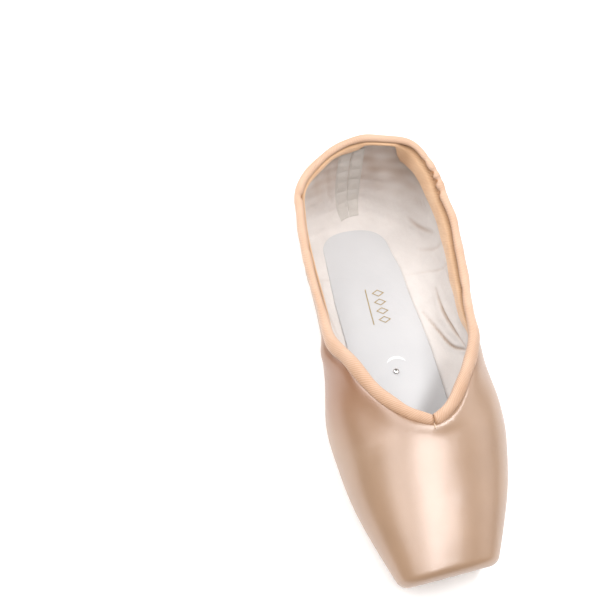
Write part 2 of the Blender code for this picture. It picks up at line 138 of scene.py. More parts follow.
# Sections of the last: run, turn round the heel in degrees, half width, height of the
# widest point, height of the crown, and the powers of the lower and upper curves
SECTIONS = (
    (0.000 * RUN, 0, 0.50 * PLATFORM_WIDTH, 0.61 * PLATFORM_TOP, 1.00 * PLATFORM_TOP, 2.0, 2.35),
    (0.068 * RUN, 0, 0.335 * BALL_WIDTH, 0.34 * INSTEP_HEIGHT, 0.66 * INSTEP_HEIGHT, 2.3, 2.35),
    (0.193 * RUN, 0, 0.440 * BALL_WIDTH, 0.36 * INSTEP_HEIGHT, 0.84 * INSTEP_HEIGHT, 2.5, 2.25),
    (0.314 * RUN, 0, 0.492 * BALL_WIDTH, 0.38 * INSTEP_HEIGHT, 1.01 * INSTEP_HEIGHT, 2.5, 2.2),
    (0.406 * RUN, 0, 0.512 * BALL_WIDTH, 0.41 * INSTEP_HEIGHT, 1.09 * INSTEP_HEIGHT, 2.5, 2.2),
    (0.507 * RUN, 0, 0.480 * BALL_WIDTH, 0.48 * INSTEP_HEIGHT, 1.19 * INSTEP_HEIGHT, 2.6, 2.2),
    (0.676 * RUN, 0, 0.472 * HEEL_WIDTH, 0.52 * HEEL_HEIGHT, 1.14 * HEEL_HEIGHT, 2.8, 2.2),
    (0.845 * RUN, 0, 0.500 * HEEL_WIDTH, 0.64 * HEEL_HEIGHT, 1.34 * HEEL_HEIGHT, 2.9, 2.3),
    (1.000 * RUN, 0, 0.500 * HEEL_WIDTH, 0.68 * HEEL_HEIGHT, 1.48 * HEEL_HEIGHT, 3.0, 2.4),
    (1.000 * RUN, 45, 1.010 * HEEL_DEPTH, 0.60 * HEEL_HEIGHT, 1.52 * HEEL_HEIGHT, 3.0, 2.5),
    (1.000 * RUN, 90, 1.000 * HEEL_DEPTH, 0.46 * HEEL_HEIGHT, 1.52 * HEEL_HEIGHT, 3.0, 2.6),
)

# Edge of the vamp: how far behind the throat, and how far out from the middle line
THROAT_EDGE = (
    (0.00 * THROAT_DEPTH, 0.000 * BALL_WIDTH),
    (0.10 * THROAT_DEPTH, 0.090 * BALL_WIDTH),
    (0.25 * THROAT_DEPTH, 0.180 * BALL_WIDTH),
    (0.50 * THROAT_DEPTH, 0.275 * BALL_WIDTH),
    (0.80 * THROAT_DEPTH, 0.350 * BALL_WIDTH),
)

# Topline behind the vamp: run, turn round the heel in degrees, and height
COLLAR_EDGE = (
    (0.60 * RUN, 0, 1.03 * SIDE_HEIGHT),
    (0.72 * RUN, 0, 1.00 * SIDE_HEIGHT),
    (0.86 * RUN, 0, 1.07 * SIDE_HEIGHT),
    (1.00 * RUN, 0, 0.81 * HEEL_HEIGHT),
    (1.00 * RUN, 45, 0.94 * HEEL_HEIGHT),
    (1.00 * RUN, 90, 1.00 * HEEL_HEIGHT),
)

# Outlines of the soles: run, turn round the heel in degrees, and half width
OUTSOLE_EDGE = (
    (0.072 * RUN, 0, 0.38 * SOLE_BALL_WIDTH),
    (0.190 * RUN, 0, 0.46 * SOLE_BALL_WIDTH),
    (0.340 * RUN, 0, 0.50 * SOLE_BALL_WIDTH),
    (0.500 * RUN, 0, 0.36 * SOLE_BALL_WIDTH),
    (0.660 * RUN, 0, 0.50 * SOLE_WAIST_WIDTH),
    (0.850 * RUN, 0, 0.43 * SOLE_HEEL_WIDTH),
    (1.000 * RUN, 0, 0.50 * SOLE_HEEL_WIDTH),
    (1.000 * RUN, 45, 0.57 * SOLE_HEEL_WIDTH),
    (1.000 * RUN, 90, 0.62 * HEEL_DEPTH),
)
INSOLE_EDGE = (
    (0.125 * RUN, 0, 0.42 * INSOLE_WIDTH),
    (0.250 * RUN, 0, 0.53 * INSOLE_WIDTH),
    (0.400 * RUN, 0, 0.57 * INSOLE_WIDTH),
    (0.560 * RUN, 0, 0.53 * INSOLE_WIDTH),
    (0.760 * RUN, 0, 0.51 * INSOLE_WIDTH),
    (1.000 * RUN, 0, 0.50 * INSOLE_WIDTH),
    (1.000 * RUN, 45, 0.53 * INSOLE_WIDTH),
    (1.000 * RUN, 90, 0.60 * HEEL_DEPTH),
)

# Where the soft upper has moved off the last: side (0 is both), run as a share of RUN, how
# far along that fades, and the shift of the topline along X, Y and Z
SLOUCH = (
    (0, 0.33, 0.024, 0.0016, 0.0000, 0.0000),
    (0, 0.333, 0.010, 0.0000, -0.0046, -0.0016),
    (-1, 0.41, 0.012, 0.0000, -0.0038, -0.0013),
    (-1, 0.51, 0.010, 0.0012, 0.0008, 0.0000),
    (1, 0.43, 0.016, -0.0014, 0.0000, 0.0000),
    (1, 1.16, 0.012, 0.0034, 0.0025, 0.0010),
    (1, 1.00, 0.012, -0.0030, 0.0000, 0.0000),
    (1, 0.86, 0.020, -0.0008, 0.0000, 0.0000),
    (-1, 0.55, 0.016, -0.0020, 0.0000, -0.0010),
    (-1, 1.05, 0.010, -0.0014, 0.0000, 0.0000),
    (1, 0.63, 0.016, -0.0013, 0.0000, 0.0000),
)
TOE_SKEW = 0.13
TOE_SKEW_REACH = 0.050
TOE_BACK = 0.0014

# Folds of the soft wall: side, path as shares of RUN and of SIDE_HEIGHT, width, and depth
# towards the foot, or away from it where negative
FOLDS = (
    (1, ((0.79, 0.24), (0.72, 0.31), (0.66, 0.37), (0.63, 0.43)), 0.0040, 0.0008),
    (1, ((0.85, 0.42), (0.77, 0.45), (0.69, 0.54), (0.60, 0.62)), 0.0050, 0.0009),
    (1, ((1.10, 0.46), (1.04, 0.47), (0.98, 0.62)), 0.0045, 0.0010),
    (-1, ((0.72, 0.20), (0.66, 0.36), (0.63, 0.60)), 0.0040, 0.0009),
    (1, ((0.62, 0.25), (0.57, 0.45), (0.52, 0.62)), 0.0050, -0.0008),
)

# Beside the binding at the wings: side, middle and reach as shares of RUN, depth of the
# trough along the binding, and height of the puff below it
WINGS = (
    (-1, 0.565, 0.055, 0.0014, 0.0014),
    (1, 0.560, 0.050, 0.0008, 0.0006),
)
WING_TROUGH = (0.0062, 0.0020)
WING_PUFF = (0.0125, 0.0050)

# Painted shade of the satin at the wings: side, middle and reach as shares of RUN, and how deep
WING_SHADES = (
    (-1, 0.50, 0.13, 0.95),
    (1, 0.50, 0.09, 0.30),
)
# Painted shade close to the binding and wider out: distance from the topline where each starts to fade, and
# how far it fades
WING_DEEP = (0.0078, 0.0036)
WING_WIDE = (0.0260, 0.0160)

# Creases of the lining alone: side, path as above, width and height of the puff towards the
# foot, and width and depth of the crease along it
# The depth and width of each also set how dark and how wide the painted shade along it is.
CREASES = (
    (1, ((0.82, 0.28), (0.74, 0.325), (0.67, 0.40), (0.58, 0.48)), 0.0030, 0.0012, 0.0008, 0.0019),
    (
        1, ((0.76, 0.15), (0.68, 0.235), (0.628, 0.29), (0.603, 0.36), (0.58, 0.49)),
        0.0028, 0.0011, 0.0008, 0.0019,
    ),
    (1, ((0.75, 0.24), (0.69, 0.31), (0.64, 0.37)), 0.0030, 0.0013, 0.0005, 0.0000),
    (1, ((1.10, 0.33), (1.04, 0.36), (0.985, 0.52)), 0.0040, 0.0013, 0.0014, 0.0010),
    (1, ((1.112, 0.68), (1.086, 0.58)), 0.0012, 0.0006, 0.0005, 0.0007),
    (1, ((1.096, 0.71), (1.070, 0.61)), 0.0012, 0.0006, 0.0005, 0.0007),
    (1, ((1.080, 0.74), (1.055, 0.65)), 0.0012, 0.0006, 0.0005, 0.0007),
    (1, ((0.98, 0.20), (0.94, 0.42), (0.93, 0.62)), 0.0050, 0.0008, 0.0012, 0.0005),
    (1, ((0.90, 0.62), (0.82, 0.55), (0.75, 0.62)), 0.0040, 0.0008, 0.0009, 0.0005),
    (-1, ((1.165, 1.15), (1.172, 0.75), (1.20, 0.40)), 0.0040, 0.0012, 0.0016, 0.0008),
    (-1, ((1.10, 1.05), (1.13, 0.70), (1.17, 0.45)), 0.0060, 0.0012, 0.0020, 0.0002),
    (1, ((1.285, 0.95), (1.22, 0.80), (1.16, 0.66)), 0.0070, 0.0012, 0.0030, 0.0002),
    (1, ((1.27, 0.60), (1.20, 0.50), (1.13, 0.42)), 0.0060, 0.0010, 0.0030, 0.0002),
    (-1, ((0.90, 0.20), (0.80, 0.24), (0.68, 0.22)), 0.0030, 0.0006, 0.0008, 0.0006),
)


def natural_curve(knots, values):
    """The smooth curve through the values at the knots, straight at both ends."""
    knots = np.array(knots, float)
    values = np.array(values, float)
    spans = np.diff(knots)
    count = len(knots)
    system = np.eye(count)
    right = np.zeros(values.shape)
    for i in range(1, count - 1):
        system[i, i - 1 : i + 2] = spans[i - 1], 2 * (spans[i - 1] + spans[i]), spans[i]
        after = (values[i + 1] - values[i]) / spans[i]
        before = (values[i] - values[i - 1]) / spans[i - 1]
        right[i] = 6 * (after - before)
    bends = np.linalg.solve(system, right)

    def at(place):
        i = int(np.clip(np.searchsorted(knots, place) - 1, 0, count - 2))
        span = spans[i]
        back = (knots[i + 1] - place) / span
        ahead = (place - knots[i]) / span
        curl = (back**3 - back) * bends[i] + (ahead**3 - ahead) * bends[i + 1]
        return back * values[i] + ahead * values[i + 1] + curl * span**2 / 6

    return at


def ease(share):
    """0 to 1, with a level start and end."""
    share = np.clip(share, 0.0, 1.0)
    return share * share * (3 - 2 * share)


def hump(distance, width):
    """1 at the middle, falling smoothly to nothing past about two widths."""
    return np.exp(-((distance / width) ** 2))


def lengths_along(points):
    """Length along a line of points, at each of them."""
    return np.concatenate([[0], np.cumsum(np.linalg.norm(np.diff(points, axis=0), axis=1))])


def run_of(run, turn):
    """Run of a place that is turned some degrees round the heel."""
    return run + math.radians(turn) * HEEL_DEPTH


def round_heel(runs, values):
    """The smooth curve through the values, going on round the heel as it came."""
    past = [i for i in range(len(runs) - 1) if runs[i] >= RUN][::-1]
    runs = list(runs) + [2 * HEEL_END - runs[i] for i in past]
    values = list(values) + [values[i] for i in past]
    return natural_curve(runs, values)


SECTION_AT = round_heel([run_of(*row[:2]) for row in SECTIONS], [row[2:] for row in SECTIONS])


def rise(run):
    """Height of the outsole's underside: toe spring, flat ball, arch, flat heel."""
    if run < BALL_FRONT:
        return TOE_SPRING * ((BALL_FRONT - run) / BALL_FRONT) ** 2
    if BALL_BACK < run < HEEL_FRONT:
        return ARCH * math.sin(math.pi * (run - BALL_BACK) / (HEEL_FRONT - BALL_BACK)) ** 2
    return 0.0


def base(run):
    """Height of the upper's outer skin on the middle line of the bottom."""
    return rise(run) + SOLE_THICKNESS + CLEARANCE


def wall(run):
    """Thickness of the upper: a stiff box, then thin quarters."""
    return BOX_WALL + (QUARTER_WALL - BOX_WALL) * ease((run - BOX_LENGTH) / WALL_TAPER)


@functools.lru_cache(maxsize=None)
def section(run):
    """Half section from the bottom to the crown: distance out, height, length so far."""
    half, widest, crown, low, high = SECTION_AT(run)
    angle = np.linspace(0, math.pi, FINE)
    lower = angle < math.pi / 2
    power = np.where(lower, 2 / low, 2 / high)
    out = half * np.abs(np.sin(angle)) ** power
    out[-1] = 0.0
    lift = np.abs(np.cos(angle)) ** power
    height = np.where(lower, widest - (widest - base(run)) * lift, widest + (crown - widest) * lift)
    length = np.concatenate([[0], np.cumsum(np.hypot(np.diff(out), np.diff(height)))])
    return out, height, length


def spread_columns(run, low, high, count):
    """Lengths of half section at the columns from low to high, closer where it bends."""
    out, height, length = section(run)
    turning = np.unwrap(np.arctan2(np.diff(height), np.diff(out)))
    effort = length + BEND_WEIGHT * np.concatenate([[0], np.abs(turning - turning[0])])
    start, end = np.interp([low, high], length, effort)
    share = np.linspace(0, 1, count + 1)
    share = share * (1 + CROWD * (1 - share))
    return np.interp(start + (end - start) * share, effort, length)


def place(run, out, height):
    """Points of the shoe at a run, some distances out and heights, in the frame."""
    out = np.asarray(out, float)
    height = np.asarray(height, float)
    if run > RUN:
        angle = (run - RUN) / HEEL_DEPTH
        across = out * math.cos(angle)
        back = RUN + out * math.sin(angle)
    else:
        fade = max(0.0, 1 - run / LEAN_REACH) ** 2
        across = out
        back = run - PLATFORM_LEAN * fade * (height - base(run)) / (PLATFORM_TOP - base(0))
    return np.stack([across, back + RUN_START, height], -1)


def cover_at_width(run, width):
    """Share of the half section above the widest point that is left at a half opening."""
    out, _, length = section(run)
    top = FINE // 2
    reach = np.interp(width, out[top:][::-1], length[top:][::-1])
    return (reach - length[top]) / (length[-1] - length[top])


def reach_at_height(run, height):
    """Length of the half section where its upper part gets to a height."""
    _, heights, length = section(run)
    return np.interp(height, heights, length)


def cover_at_height(run, height):
    """Share of the half section above the widest point, up to a height."""
    _, _, length = section(run)
    top = FINE // 2
    return (reach_at_height(run, height) - length[top]) / (length[-1] - length[top])


def topline():
    """Curve of run to covered share, along the vamp's edge and then the collar."""
    rows = []
    for back, width in THROAT_EDGE:
        rows.append((VAMP_LENGTH + back, cover_at_width(VAMP_LENGTH + back, width)))
    for along, turn, height in COLLAR_EDGE:
        rows.append((run_of(along, turn), cover_at_height(run_of(along, turn), height)))
    return round_heel([row[0] for row in rows], [row[1] for row in rows])


COVER_AT = topline()


@functools.lru_cache(maxsize=None)
def from_crown(run):
    """Length of half section that is open above the upper's edge."""
    if run <= VAMP_LENGTH:
        return 0.0
    _, _, length = section(run)
    return (1 - COVER_AT(run)) * (length[-1] - length[FINE // 2])


def outline(table, tip):
    """Half width of a sole at a run, with a round tip."""
    curve = round_heel([run_of(*row[:2]) for row in table], [row[2] for row in table])

    def half_width(run, inset=0.0):
        share = min(max((run - tip - inset) / TIP_ROUND, 0.0), 1.0)
        return (curve(run) - inset) * math.sqrt(1 - (1 - share) ** 2)

    return half_width


OUTSOLE_HALF = outline(OUTSOLE_EDGE, SOLE_TIP)
INSOLE_HALF = outline(INSOLE_EDGE, INSOLE_TIP)


def from_bottom(run):
    """Length of half section that the sole closes below the upper's edge."""
    out, _, length = section(run)
    low = FINE // 2 + 1
    return np.interp(OUTSOLE_HALF(run, SEAM_MARGIN), out[:low], length[:low])


def skin(run, crown_length):
    """Point of the upper's outer skin, a length of section away from the crown."""
    out, height, length = section(run)
    reach = length[-1] - crown_length
    return place(run, np.interp(reach, length, out), np.interp(reach, length, height))


def skin_frame(run, crown_length):
    """Skin point, its two slopes (back and away from the crown) and its outward normal."""
    point = skin(run, crown_length)
    back = (skin(run + STEP, crown_length) - skin(run - STEP, crown_length)) / (2 * STEP)
    if crown_length < STEP:
        down = np.array([1.0, 0.0, 0.0])
        back[0] = 0.0
    else:
        down = (skin(run, crown_length + STEP) - skin(run, crown_length - STEP)) / (2 * STEP)
    normal = np.cross(down, back)
    return point, back, down, normal / np.linalg.norm(normal)


def underside(run, out):
    """Height and steepness of the upper's outer skin, a distance out on the bottom."""
    half, widest, _, low, _ = SECTION_AT(run)
    share = min(out / half, STEEPEST)
    depth = widest - base(run)
    drop = (1 - share**low) ** (1 / low)
    slope = depth / half * share ** (low - 1) * (1 - share**low) ** (1 / low - 1)
    return widest - depth * drop, math.hypot(1, slope)


def stretch(start, end, count, crowd=0.0):
    """Runs after the start, up to the end, crowded towards the start."""
    shares = [(i + 1) / count for i in range(count)]
    return [start + (end - start) * ((1 - crowd) * s + crowd * s * s) for s in shares]


def skin_runs():
    """Runs of the rows behind the platform, closest at the throat."""
    runs = stretch(PLATFORM_EDGE, SOLE_TIP + SEAM_MARGIN, 14)
    runs += stretch(runs[-1], VAMP_LENGTH, 36)
    runs += stretch(runs[-1], VAMP_LENGTH + 0.25 * THROAT_DEPTH, 24)
    runs += stretch(runs[-1], VAMP_LENGTH + THROAT_DEPTH, 36)
    runs += stretch(runs[-1], RUN, 110)
    runs += stretch(runs[-1], HEEL_END, 56)
    return runs


def front_rows():
    """Rows of the platform: run, spread of its face, and inset of its round edge."""
    radius = PLATFORM_EDGE / (1 - math.cos(FRONT_SWEEP))
    rows = [(0.0, spread, radius * math.sin(FRONT_SWEEP)) for spread in np.linspace(0, 1, FACE_ROWS)]
    for angle in stretch(0.0, FRONT_SWEEP, FRONT_STEPS):
        inset = radius * (math.sin(FRONT_SWEEP) - math.sin(angle))
        rows.append((radius * (1 - math.cos(angle)), 1.0, inset))
    return rows


def front_row(row, reach):
    """Points of the platform or of its edge, at lengths up the half section."""
    back, spread, inset = row
    out, height, length = section(PLATFORM_EDGE)
    middle = (height[0] + height[-1]) / 2
    half_height = (height[-1] - height[0]) / 2
    width = np.interp(reach, length, out) * spread * (1 - inset / out.max())
    tall = (np.interp(reach, length, height) - middle) * spread * (1 - inset / half_height)
    return place(back, width, middle + tall)


def normals_of(points, closed_rows):
    """Outward normals of a grid of points on side 1, level across where halves meet."""
    back = np.gradient(points, axis=0)
    up = np.gradient(points, axis=1)
    back[-1, :, 1] = 0.0
    normals = np.cross(back, up)
    normals[closed_rows, -1, 0] = 0.0
    normals[-1, :, 0] = 0.0
    length = np.linalg.norm(normals, axis=2, keepdims=True)
    return normals / np.maximum(length, 1e-12)


@functools.lru_cache(maxsize=None)
def skin_grid(columns):
    """The outer skin on side 1: points, normals, run of each row, and cloth coordinates."""
    front = front_rows()
    runs = skin_runs()
    points = []
    arcs = []
    for row in range(len(front) + len(runs)):
        run = PLATFORM_EDGE if row < len(front) else runs[row - len(front)]
        out, height, length = section(run)
        reach = spread_columns(run, from_bottom(run), length[-1] - from_crown(run), columns)
        if row < len(front):
            points.append(front_row(front[row], reach))
        else:
            points.append(place(run, np.interp(reach, length, out), np.interp(reach, length, height)))
        arcs.append(length[-1] - reach)
    points = np.array(points)
    rows_run = np.array([row[0] for row in front] + runs)
    normals = normals_of(points, rows_run <= VAMP_LENGTH)
    middle = columns // 2
    along = lengths_along(points[:, middle])
    cloth = np.stack([np.broadcast_to(along[:, None], (len(along), columns + 1)), np.array(arcs)], -1)
    return points, normals, rows_run, cloth


def on_side(vectors, side):
    """Points or normals of side 1 taken to a side."""
    return vectors * np.array([side, 1.0, 1.0])


def settle(points, run):
    """Points after the soft upper has slouched off the last."""
    moved = points.copy()
    run = np.broadcast_to(run, points.shape[:-1])
    high = ease((points[..., 2] - 0.2 * SIDE_HEIGHT) / (0.8 * SIDE_HEIGHT))
    for side, share, reach, *shift in SLOUCH:
        part = ease(side * points[..., 0] / 0.012) if side else 1.0
        moved += (high * part * hump(run - share * RUN, reach))[..., None] * np.array(shift)
    fade = np.clip(1 - run / TOE_SKEW_REACH, 0, 1) ** 2
    moved[..., 1] += fade * (TOE_SKEW * points[..., 0] + TOE_BACK)
    return moved


def wall_path(side, shares, off=0.0):
    """Closely spaced points along a smooth path on the wall, given by shares."""
    curve = natural_curve(range(len(shares)), shares)
    points = []
    for place_on in np.linspace(0, len(shares) - 1, 60):
        run, height = curve(place_on) * (RUN, SIDE_HEIGHT)
        _, _, length = section(run)
        crown_length = length[-1] - reach_at_height(run, height)
        point, _, _, normal = skin_frame(run, crown_length)
        points.append(on_side(point + off * normal, side))
    return np.array(points)


def near_path(points, path, width):
    """How strongly points lie on a path: 1 on it, fading aside and at its ends."""
    flat = points.reshape(-1, 3)
    low = path.min(0) - 3 * width
    high = path.max(0) + 3 * width
    inside = np.nonzero(((flat > low) & (flat < high)).all(1))[0]
    strength = np.zeros(len(flat))
    if len(inside):
        distance = np.linalg.norm(flat[inside, None] - path[None], axis=2)
        nearest = distance.argmin(1)
        taper = np.sin(math.pi * np.clip(nearest / (len(path) - 1), 0.04, 0.96)) ** 0.6
        strength[inside] = hump(distance.min(1), width) * taper
    return strength.reshape(points.shape[:-1])


@functools.lru_cache(maxsize=None)
def fold_paths():
    return tuple((wall_path(side, shares), width, depth) for side, shares, width, depth in FOLDS)


@functools.lru_cache(maxsize=None)
def crease_paths():
    return tuple((wall_path(row[0], row[1]), *row[2:]) for row in CREASES)


def fold_depth(points):
    """How far the folds push the whole wall towards the foot."""
    depths = sum(depth * near_path(points, path, width) for path, width, depth in fold_paths())
    edge = from_edge(points)
    run = points[..., 1] - RUN_START
    for side, middle, reach, trough, puff in WINGS:
        part = hump(run - middle * RUN, reach * RUN) * ease(side * points[..., 0] / 0.012)
        depths += part * trough * hump(edge - WING_TROUGH[0], WING_TROUGH[1])
        depths -= part * puff * hump(edge - WING_PUFF[0], WING_PUFF[1])
    return depths


def ripple(points, size, seed):
    """Smooth unevenness between about -1 and 1, with waves of about a size."""
    turn = 2 * math.pi / size
    x, y, z = (points[..., i] * turn for i in range(3))
    first = np.sin(x + 0.7 * y + 1.3 * z + seed) * np.cos(0.6 * x - 0.9 * z + 2.1 * seed)
    second = np.sin(0.8 * y - 0.5 * x + 1.7 * seed) * np.cos(0.5 * y + 1.1 * z - seed)
    return 0.5 * (first + second)


@functools.lru_cache(maxsize=None)
def edge_runs():
    """Runs along the topline from the throat to the back seam, evenly spaced along it."""
    runs = np.array([VAMP_LENGTH + STEP] + stretch(VAMP_LENGTH + STEP, HEEL_END, 900, 0.4))
    edge = np.array([skin(run, from_crown(run)) for run in runs])
    along = lengths_along(edge)
    count = round(along[-1] / EDGE_SPACING)
    return np.interp(np.linspace(0, along[-1], count + 1), along, runs)


@functools.lru_cache(maxsize=None)
def edge_line():
    """Points of the topline on side 1, at the edge runs."""
    return np.array([skin(run, from_crown(run)) for run in edge_runs()])


def from_edge(points):
    """Distance of points from the topline, on whichever side they are."""
    flat = np.abs(points.reshape(-1, 3)) * (1, 0, 0) + points.reshape(-1, 3) * (0, 1, 1)
    line = edge_line()
    distance = np.full(len(flat), 1.0)
    near = np.nonzero(flat[:, 1] > line[:, 1].min() - 0.02)[0]
    for block in np.array_split(near, max(1, len(near) // 4000)):
        distance[block] = np.linalg.norm(flat[block, None] - line[None], axis=2).min(1)
    return distance.reshape(points.shape[:-1])


def drop_frames(run, levels):
    """Skin points and normals at drops below the upper's edge, and the way up at the edge."""
    crown_length = from_crown(run)
    point, back, down, normal = skin_frame(run, crown_length)
    before = skin(run - STEP, from_crown(run - STEP))
    ahead = skin(run + STEP, from_crown(run + STEP)) - before
    climb = np.cross(normal, ahead)
    climb *= -np.sign(climb @ down) / np.linalg.norm(climb)
    points = [point]
    normals = [normal]
    for drop in levels[1:]:
        slopes = np.stack([back, down], 1)
        along, away = np.linalg.lstsq(slopes, -climb * drop, rcond=None)[0]
        lower, _, _, lower_normal = skin_frame(run + along, max(crown_length + away, 0.0))
        points.append(lower)
        normals.append(lower_normal)
    return np.array(points), np.array(normals), climb


DROP_LEVELS = np.linspace(0, 1.9 * INNER_DROP, 13)


@functools.lru_cache(maxsize=None)
def edge_ladder():
    """Frames below the whole topline, for all the edge runs."""
    return [drop_frames(run, DROP_LEVELS) for run in edge_runs()]


def collar_rows(throat_gap=0.0):
    """The whole topline as (side, index of edge run), from one side of the slit to the other."""
    count = len(edge_runs())
    first = 0
    while edge_line()[first, 0] < throat_gap:
        first += 1
    left = [(-1, i) for i in range(first, count)]
    right = [(1, i) for i in range(count - 2, first - 1, -1)]
    return left + right


def beside_edge(side, index, across, up):
    """Points beside the topline: across from the middle of the wall, outwards, and up."""
    points, normals, climb = edge_ladder()[index]
    run = edge_runs()[index]
    across = np.asarray(across, float)
    up = np.asarray(up, float)
    drop = np.maximum(-up, 0.0)
    point = np.stack([np.interp(drop, DROP_LEVELS, points[:, i]) for i in range(3)], -1)
    normal = np.stack([np.interp(drop, DROP_LEVELS, normals[:, i]) for i in range(3)], -1)
    over = np.maximum(up, 0.0)[..., None] * climb
    made = point + over + normal * (across - wall(run) / 2)[..., None]
    made[..., 0] *= side
    return made


def mesh_piece(name, shape, material, smooth=True):
    """An object of a finished bmesh, in the scene."""
    mesh = bpy.data.meshes.new(name)
    shape.to_mesh(mesh)
    shape.free()
    if smooth:
        mesh.shade_smooth()
    mesh.materials.append(material)
    piece = bpy.data.objects.new(name, mesh)
    bpy.context.scene.collection.objects.link(piece)
    return piece


def grid_piece(name, grids, material, weld=True, close=False):
    """An object from grids of (points, cloth coordinates, outward normals or None, marks of painted shade).
    """
    sheet = bmesh.new()
    uv = sheet.loops.layers.uv.new("cloth")
    # Painted shade of each point, as a float attribute that the materials darken their colour by.
    mark = sheet.verts.layers.float.new("painted_shade")
    for points, cloth, outward, *marks in grids:
        rows, columns = points.shape[:2]
        made = bmesh.ops.create_grid(sheet, x_segments=columns - 1, y_segments=rows - 1, size=0.5)["verts"]
        faces = {face for vert in made for face in vert.link_faces}
        address = {}
        for vert in made:
            column = round((vert.co.x + 0.5) * (columns - 1))
            row = round((vert.co.y + 0.5) * (rows - 1))
            address[vert] = (row, column)
            vert.co = points[row, column]
            if marks:
                vert[mark] = marks[0][row, column]
        for face in faces:
            for loop in face.loops:
                loop[uv].uv = cloth[address[loop.vert]]
        if outward is not None:
            middle = min(faces, key=lambda f: max(abs(address[v][0] - rows // 2) for v in f.verts))
            middle.normal_update()
            row, column = address[middle.verts[0]]
            if middle.normal.dot(Vector(outward[row, column])) < 0:
                bmesh.ops.reverse_faces(sheet, faces=list(faces))
    if weld:
        bmesh.ops.remove_doubles(sheet, verts=sheet.verts, dist=MERGE)
    if close:
        rims = [edge for edge in sheet.edges if edge.is_boundary]
        bmesh.ops.holes_fill(sheet, edges=rims)
        bmesh.ops.recalc_face_normals(sheet, faces=sheet.faces)
    return mesh_piece(name, sheet, material)


def thicken(piece, thickness):
    """Gives a sheet its thickness, away from the side that it faces."""
    solid = piece.modifiers.new("Thickness", "SOLIDIFY")
    solid.thickness = thickness
    solid.offset = -1
    return piece


def fit(piece, node=None):
    """Rides a piece on the shoe and the solid that it stands for."""
    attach(piece, "root")
    if node:
        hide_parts(node)
    return piece


# Materials


def fill(tree, node, **inputs):
    """Sets or links a node's inputs, each by its name or by its place after a low line."""
    for key, value in inputs.items():
        place_in = key.lstrip("_")
        target = node.inputs[int(place_in) if place_in.isdigit() else key.replace("_", " ")]
        if isinstance(value, bpy.types.NodeSocket):
            tree.links.new(value, target)
        else:
            target.default_value = value
    return node


def add_node(tree, kind, settings=None, **inputs):
    """A node, with its settings and its inputs."""
    node = tree.nodes.new("ShaderNode" + kind)
    for key, value in (settings or {}).items():
        setattr(node, key, value)
    return fill(tree, node, **inputs)


def arithmetic(tree, operation, first, second=0.0, third=0.0):
    """A Math node's value."""
    return add_node(tree, "Math", {"operation": operation}, _0=first, _1=second, _2=third).outputs[0]


def wave_of(tree, place_at, turn):
    """The sine of a place times a turn."""
    return arithmetic(tree, "SINE", arithmetic(tree, "MULTIPLY", place_at, turn))


def noise(tree, where, scale, detail):
    """A smooth random value."""
    settings = {"noise_dimensions": "3D"}
    return add_node(tree, "TexNoise", settings, Vector=where, Scale=scale, Detail=detail).outputs["Fac"]


def ranged(tree, value, low, high):
    """A value from 0 to 1 taken to a range."""
    return add_node(tree, "MapRange", None, Value=value, To_Min=low, To_Max=high).outputs[0]


def start_group(name, **numbers):
    """A node group that takes coordinates in metres and numbers: its tree and its inputs."""
    tree = bpy.data.node_groups.new(name, "ShaderNodeTree")
    tree.interface.new_socket(name="Where", in_out="INPUT", socket_type="NodeSocketVector")
    for key, value in numbers.items():
        socket = tree.interface.new_socket(name=key, in_out="INPUT", socket_type="NodeSocketFloat")
        socket.default_value = value
    return tree, tree.nodes.new("NodeGroupInput").outputs


def end_group(tree, **results):
    """A node group, once it puts out its named values."""
    for key in results:
        name = key.replace("_", " ")
        tree.interface.new_socket(name=name, in_out="OUTPUT", socket_type="NodeSocketFloat")
    fill(tree, tree.nodes.new("NodeGroupOutput"), **results)
    return tree


def weave_group():
    """Threads across each other: a height and a shade."""
    tree, given = start_group("Weave", Thread=0.0004)
    axes = add_node(tree, "SeparateXYZ", _0=given["Where"]).outputs
    turn = arithmetic(tree, "DIVIDE", 2 * math.pi, given["Thread"])
    cloth = arithmetic(tree, "MULTIPLY", wave_of(tree, axes["X"], turn), wave_of(tree, axes["Y"], turn))
    slub = arithmetic(tree, "MULTIPLY_ADD", noise(tree, given["Where"], 900.0, 2.0), 1.2, -0.6)
    height = arithmetic(tree, "ADD", cloth, slub)
    return end_group(tree, Height=height, Shade=arithmetic(tree, "MULTIPLY_ADD", height, 0.25, 0.5))


def rib_group():
    """Slanting ribs of a bias cloth: a height and a shade."""
    tree, given = start_group("Slanting ribs", Pitch=0.001, Slant=1.0)
    axes = add_node(tree, "SeparateXYZ", _0=given["Where"]).outputs
    wander = arithmetic(tree, "MULTIPLY", noise(tree, given["Where"], 160.0, 1.0), 0.0012)
    slanted = arithmetic(tree, "MULTIPLY_ADD", axes["Y"], given["Slant"], axes["X"])
    turn = arithmetic(tree, "DIVIDE", 2 * math.pi, given["Pitch"])
    rib = wave_of(tree, arithmetic(tree, "ADD", slanted, wander), turn)
    height = arithmetic(tree, "MULTIPLY_ADD", noise(tree, given["Where"], 2600.0, 2.0), 0.8, rib)
    return end_group(tree, Height=height, Shade=arithmetic(tree, "MULTIPLY_ADD", rib, 0.5, 0.5))


def tone_group():
    """Soft unevenness of a surface: a mask of large and one of fine patches."""
    tree, given = start_group("Uneven tone", Patch=0.03)
    scale = arithmetic(tree, "DIVIDE", 1.0, given["Patch"])
    finer = arithmetic(tree, "MULTIPLY", scale, 9.0)
    fine = noise(tree, given["Where"], finer, 4.0)
    return end_group(tree, Mask=noise(tree, given["Where"], scale, 3.0), Fine_mask=fine)


WEAVE = weave_group()
RIBS = rib_group()
TONE = tone_group()

# Colours of painted shade, which the marked places turn towards: the lining's creases, seams and heel
# hollow; the casing's low edge, groove and ends and the facing's top and corners; the satin at the wings
LINING_SHADE_COLOR = (0.42, 0.29, 0.21)
BINDING_SHADE_COLOR = (0.34, 0.155, 0.060)
WING_SHADE_COLOR = (0.270, 0.105, 0.035)


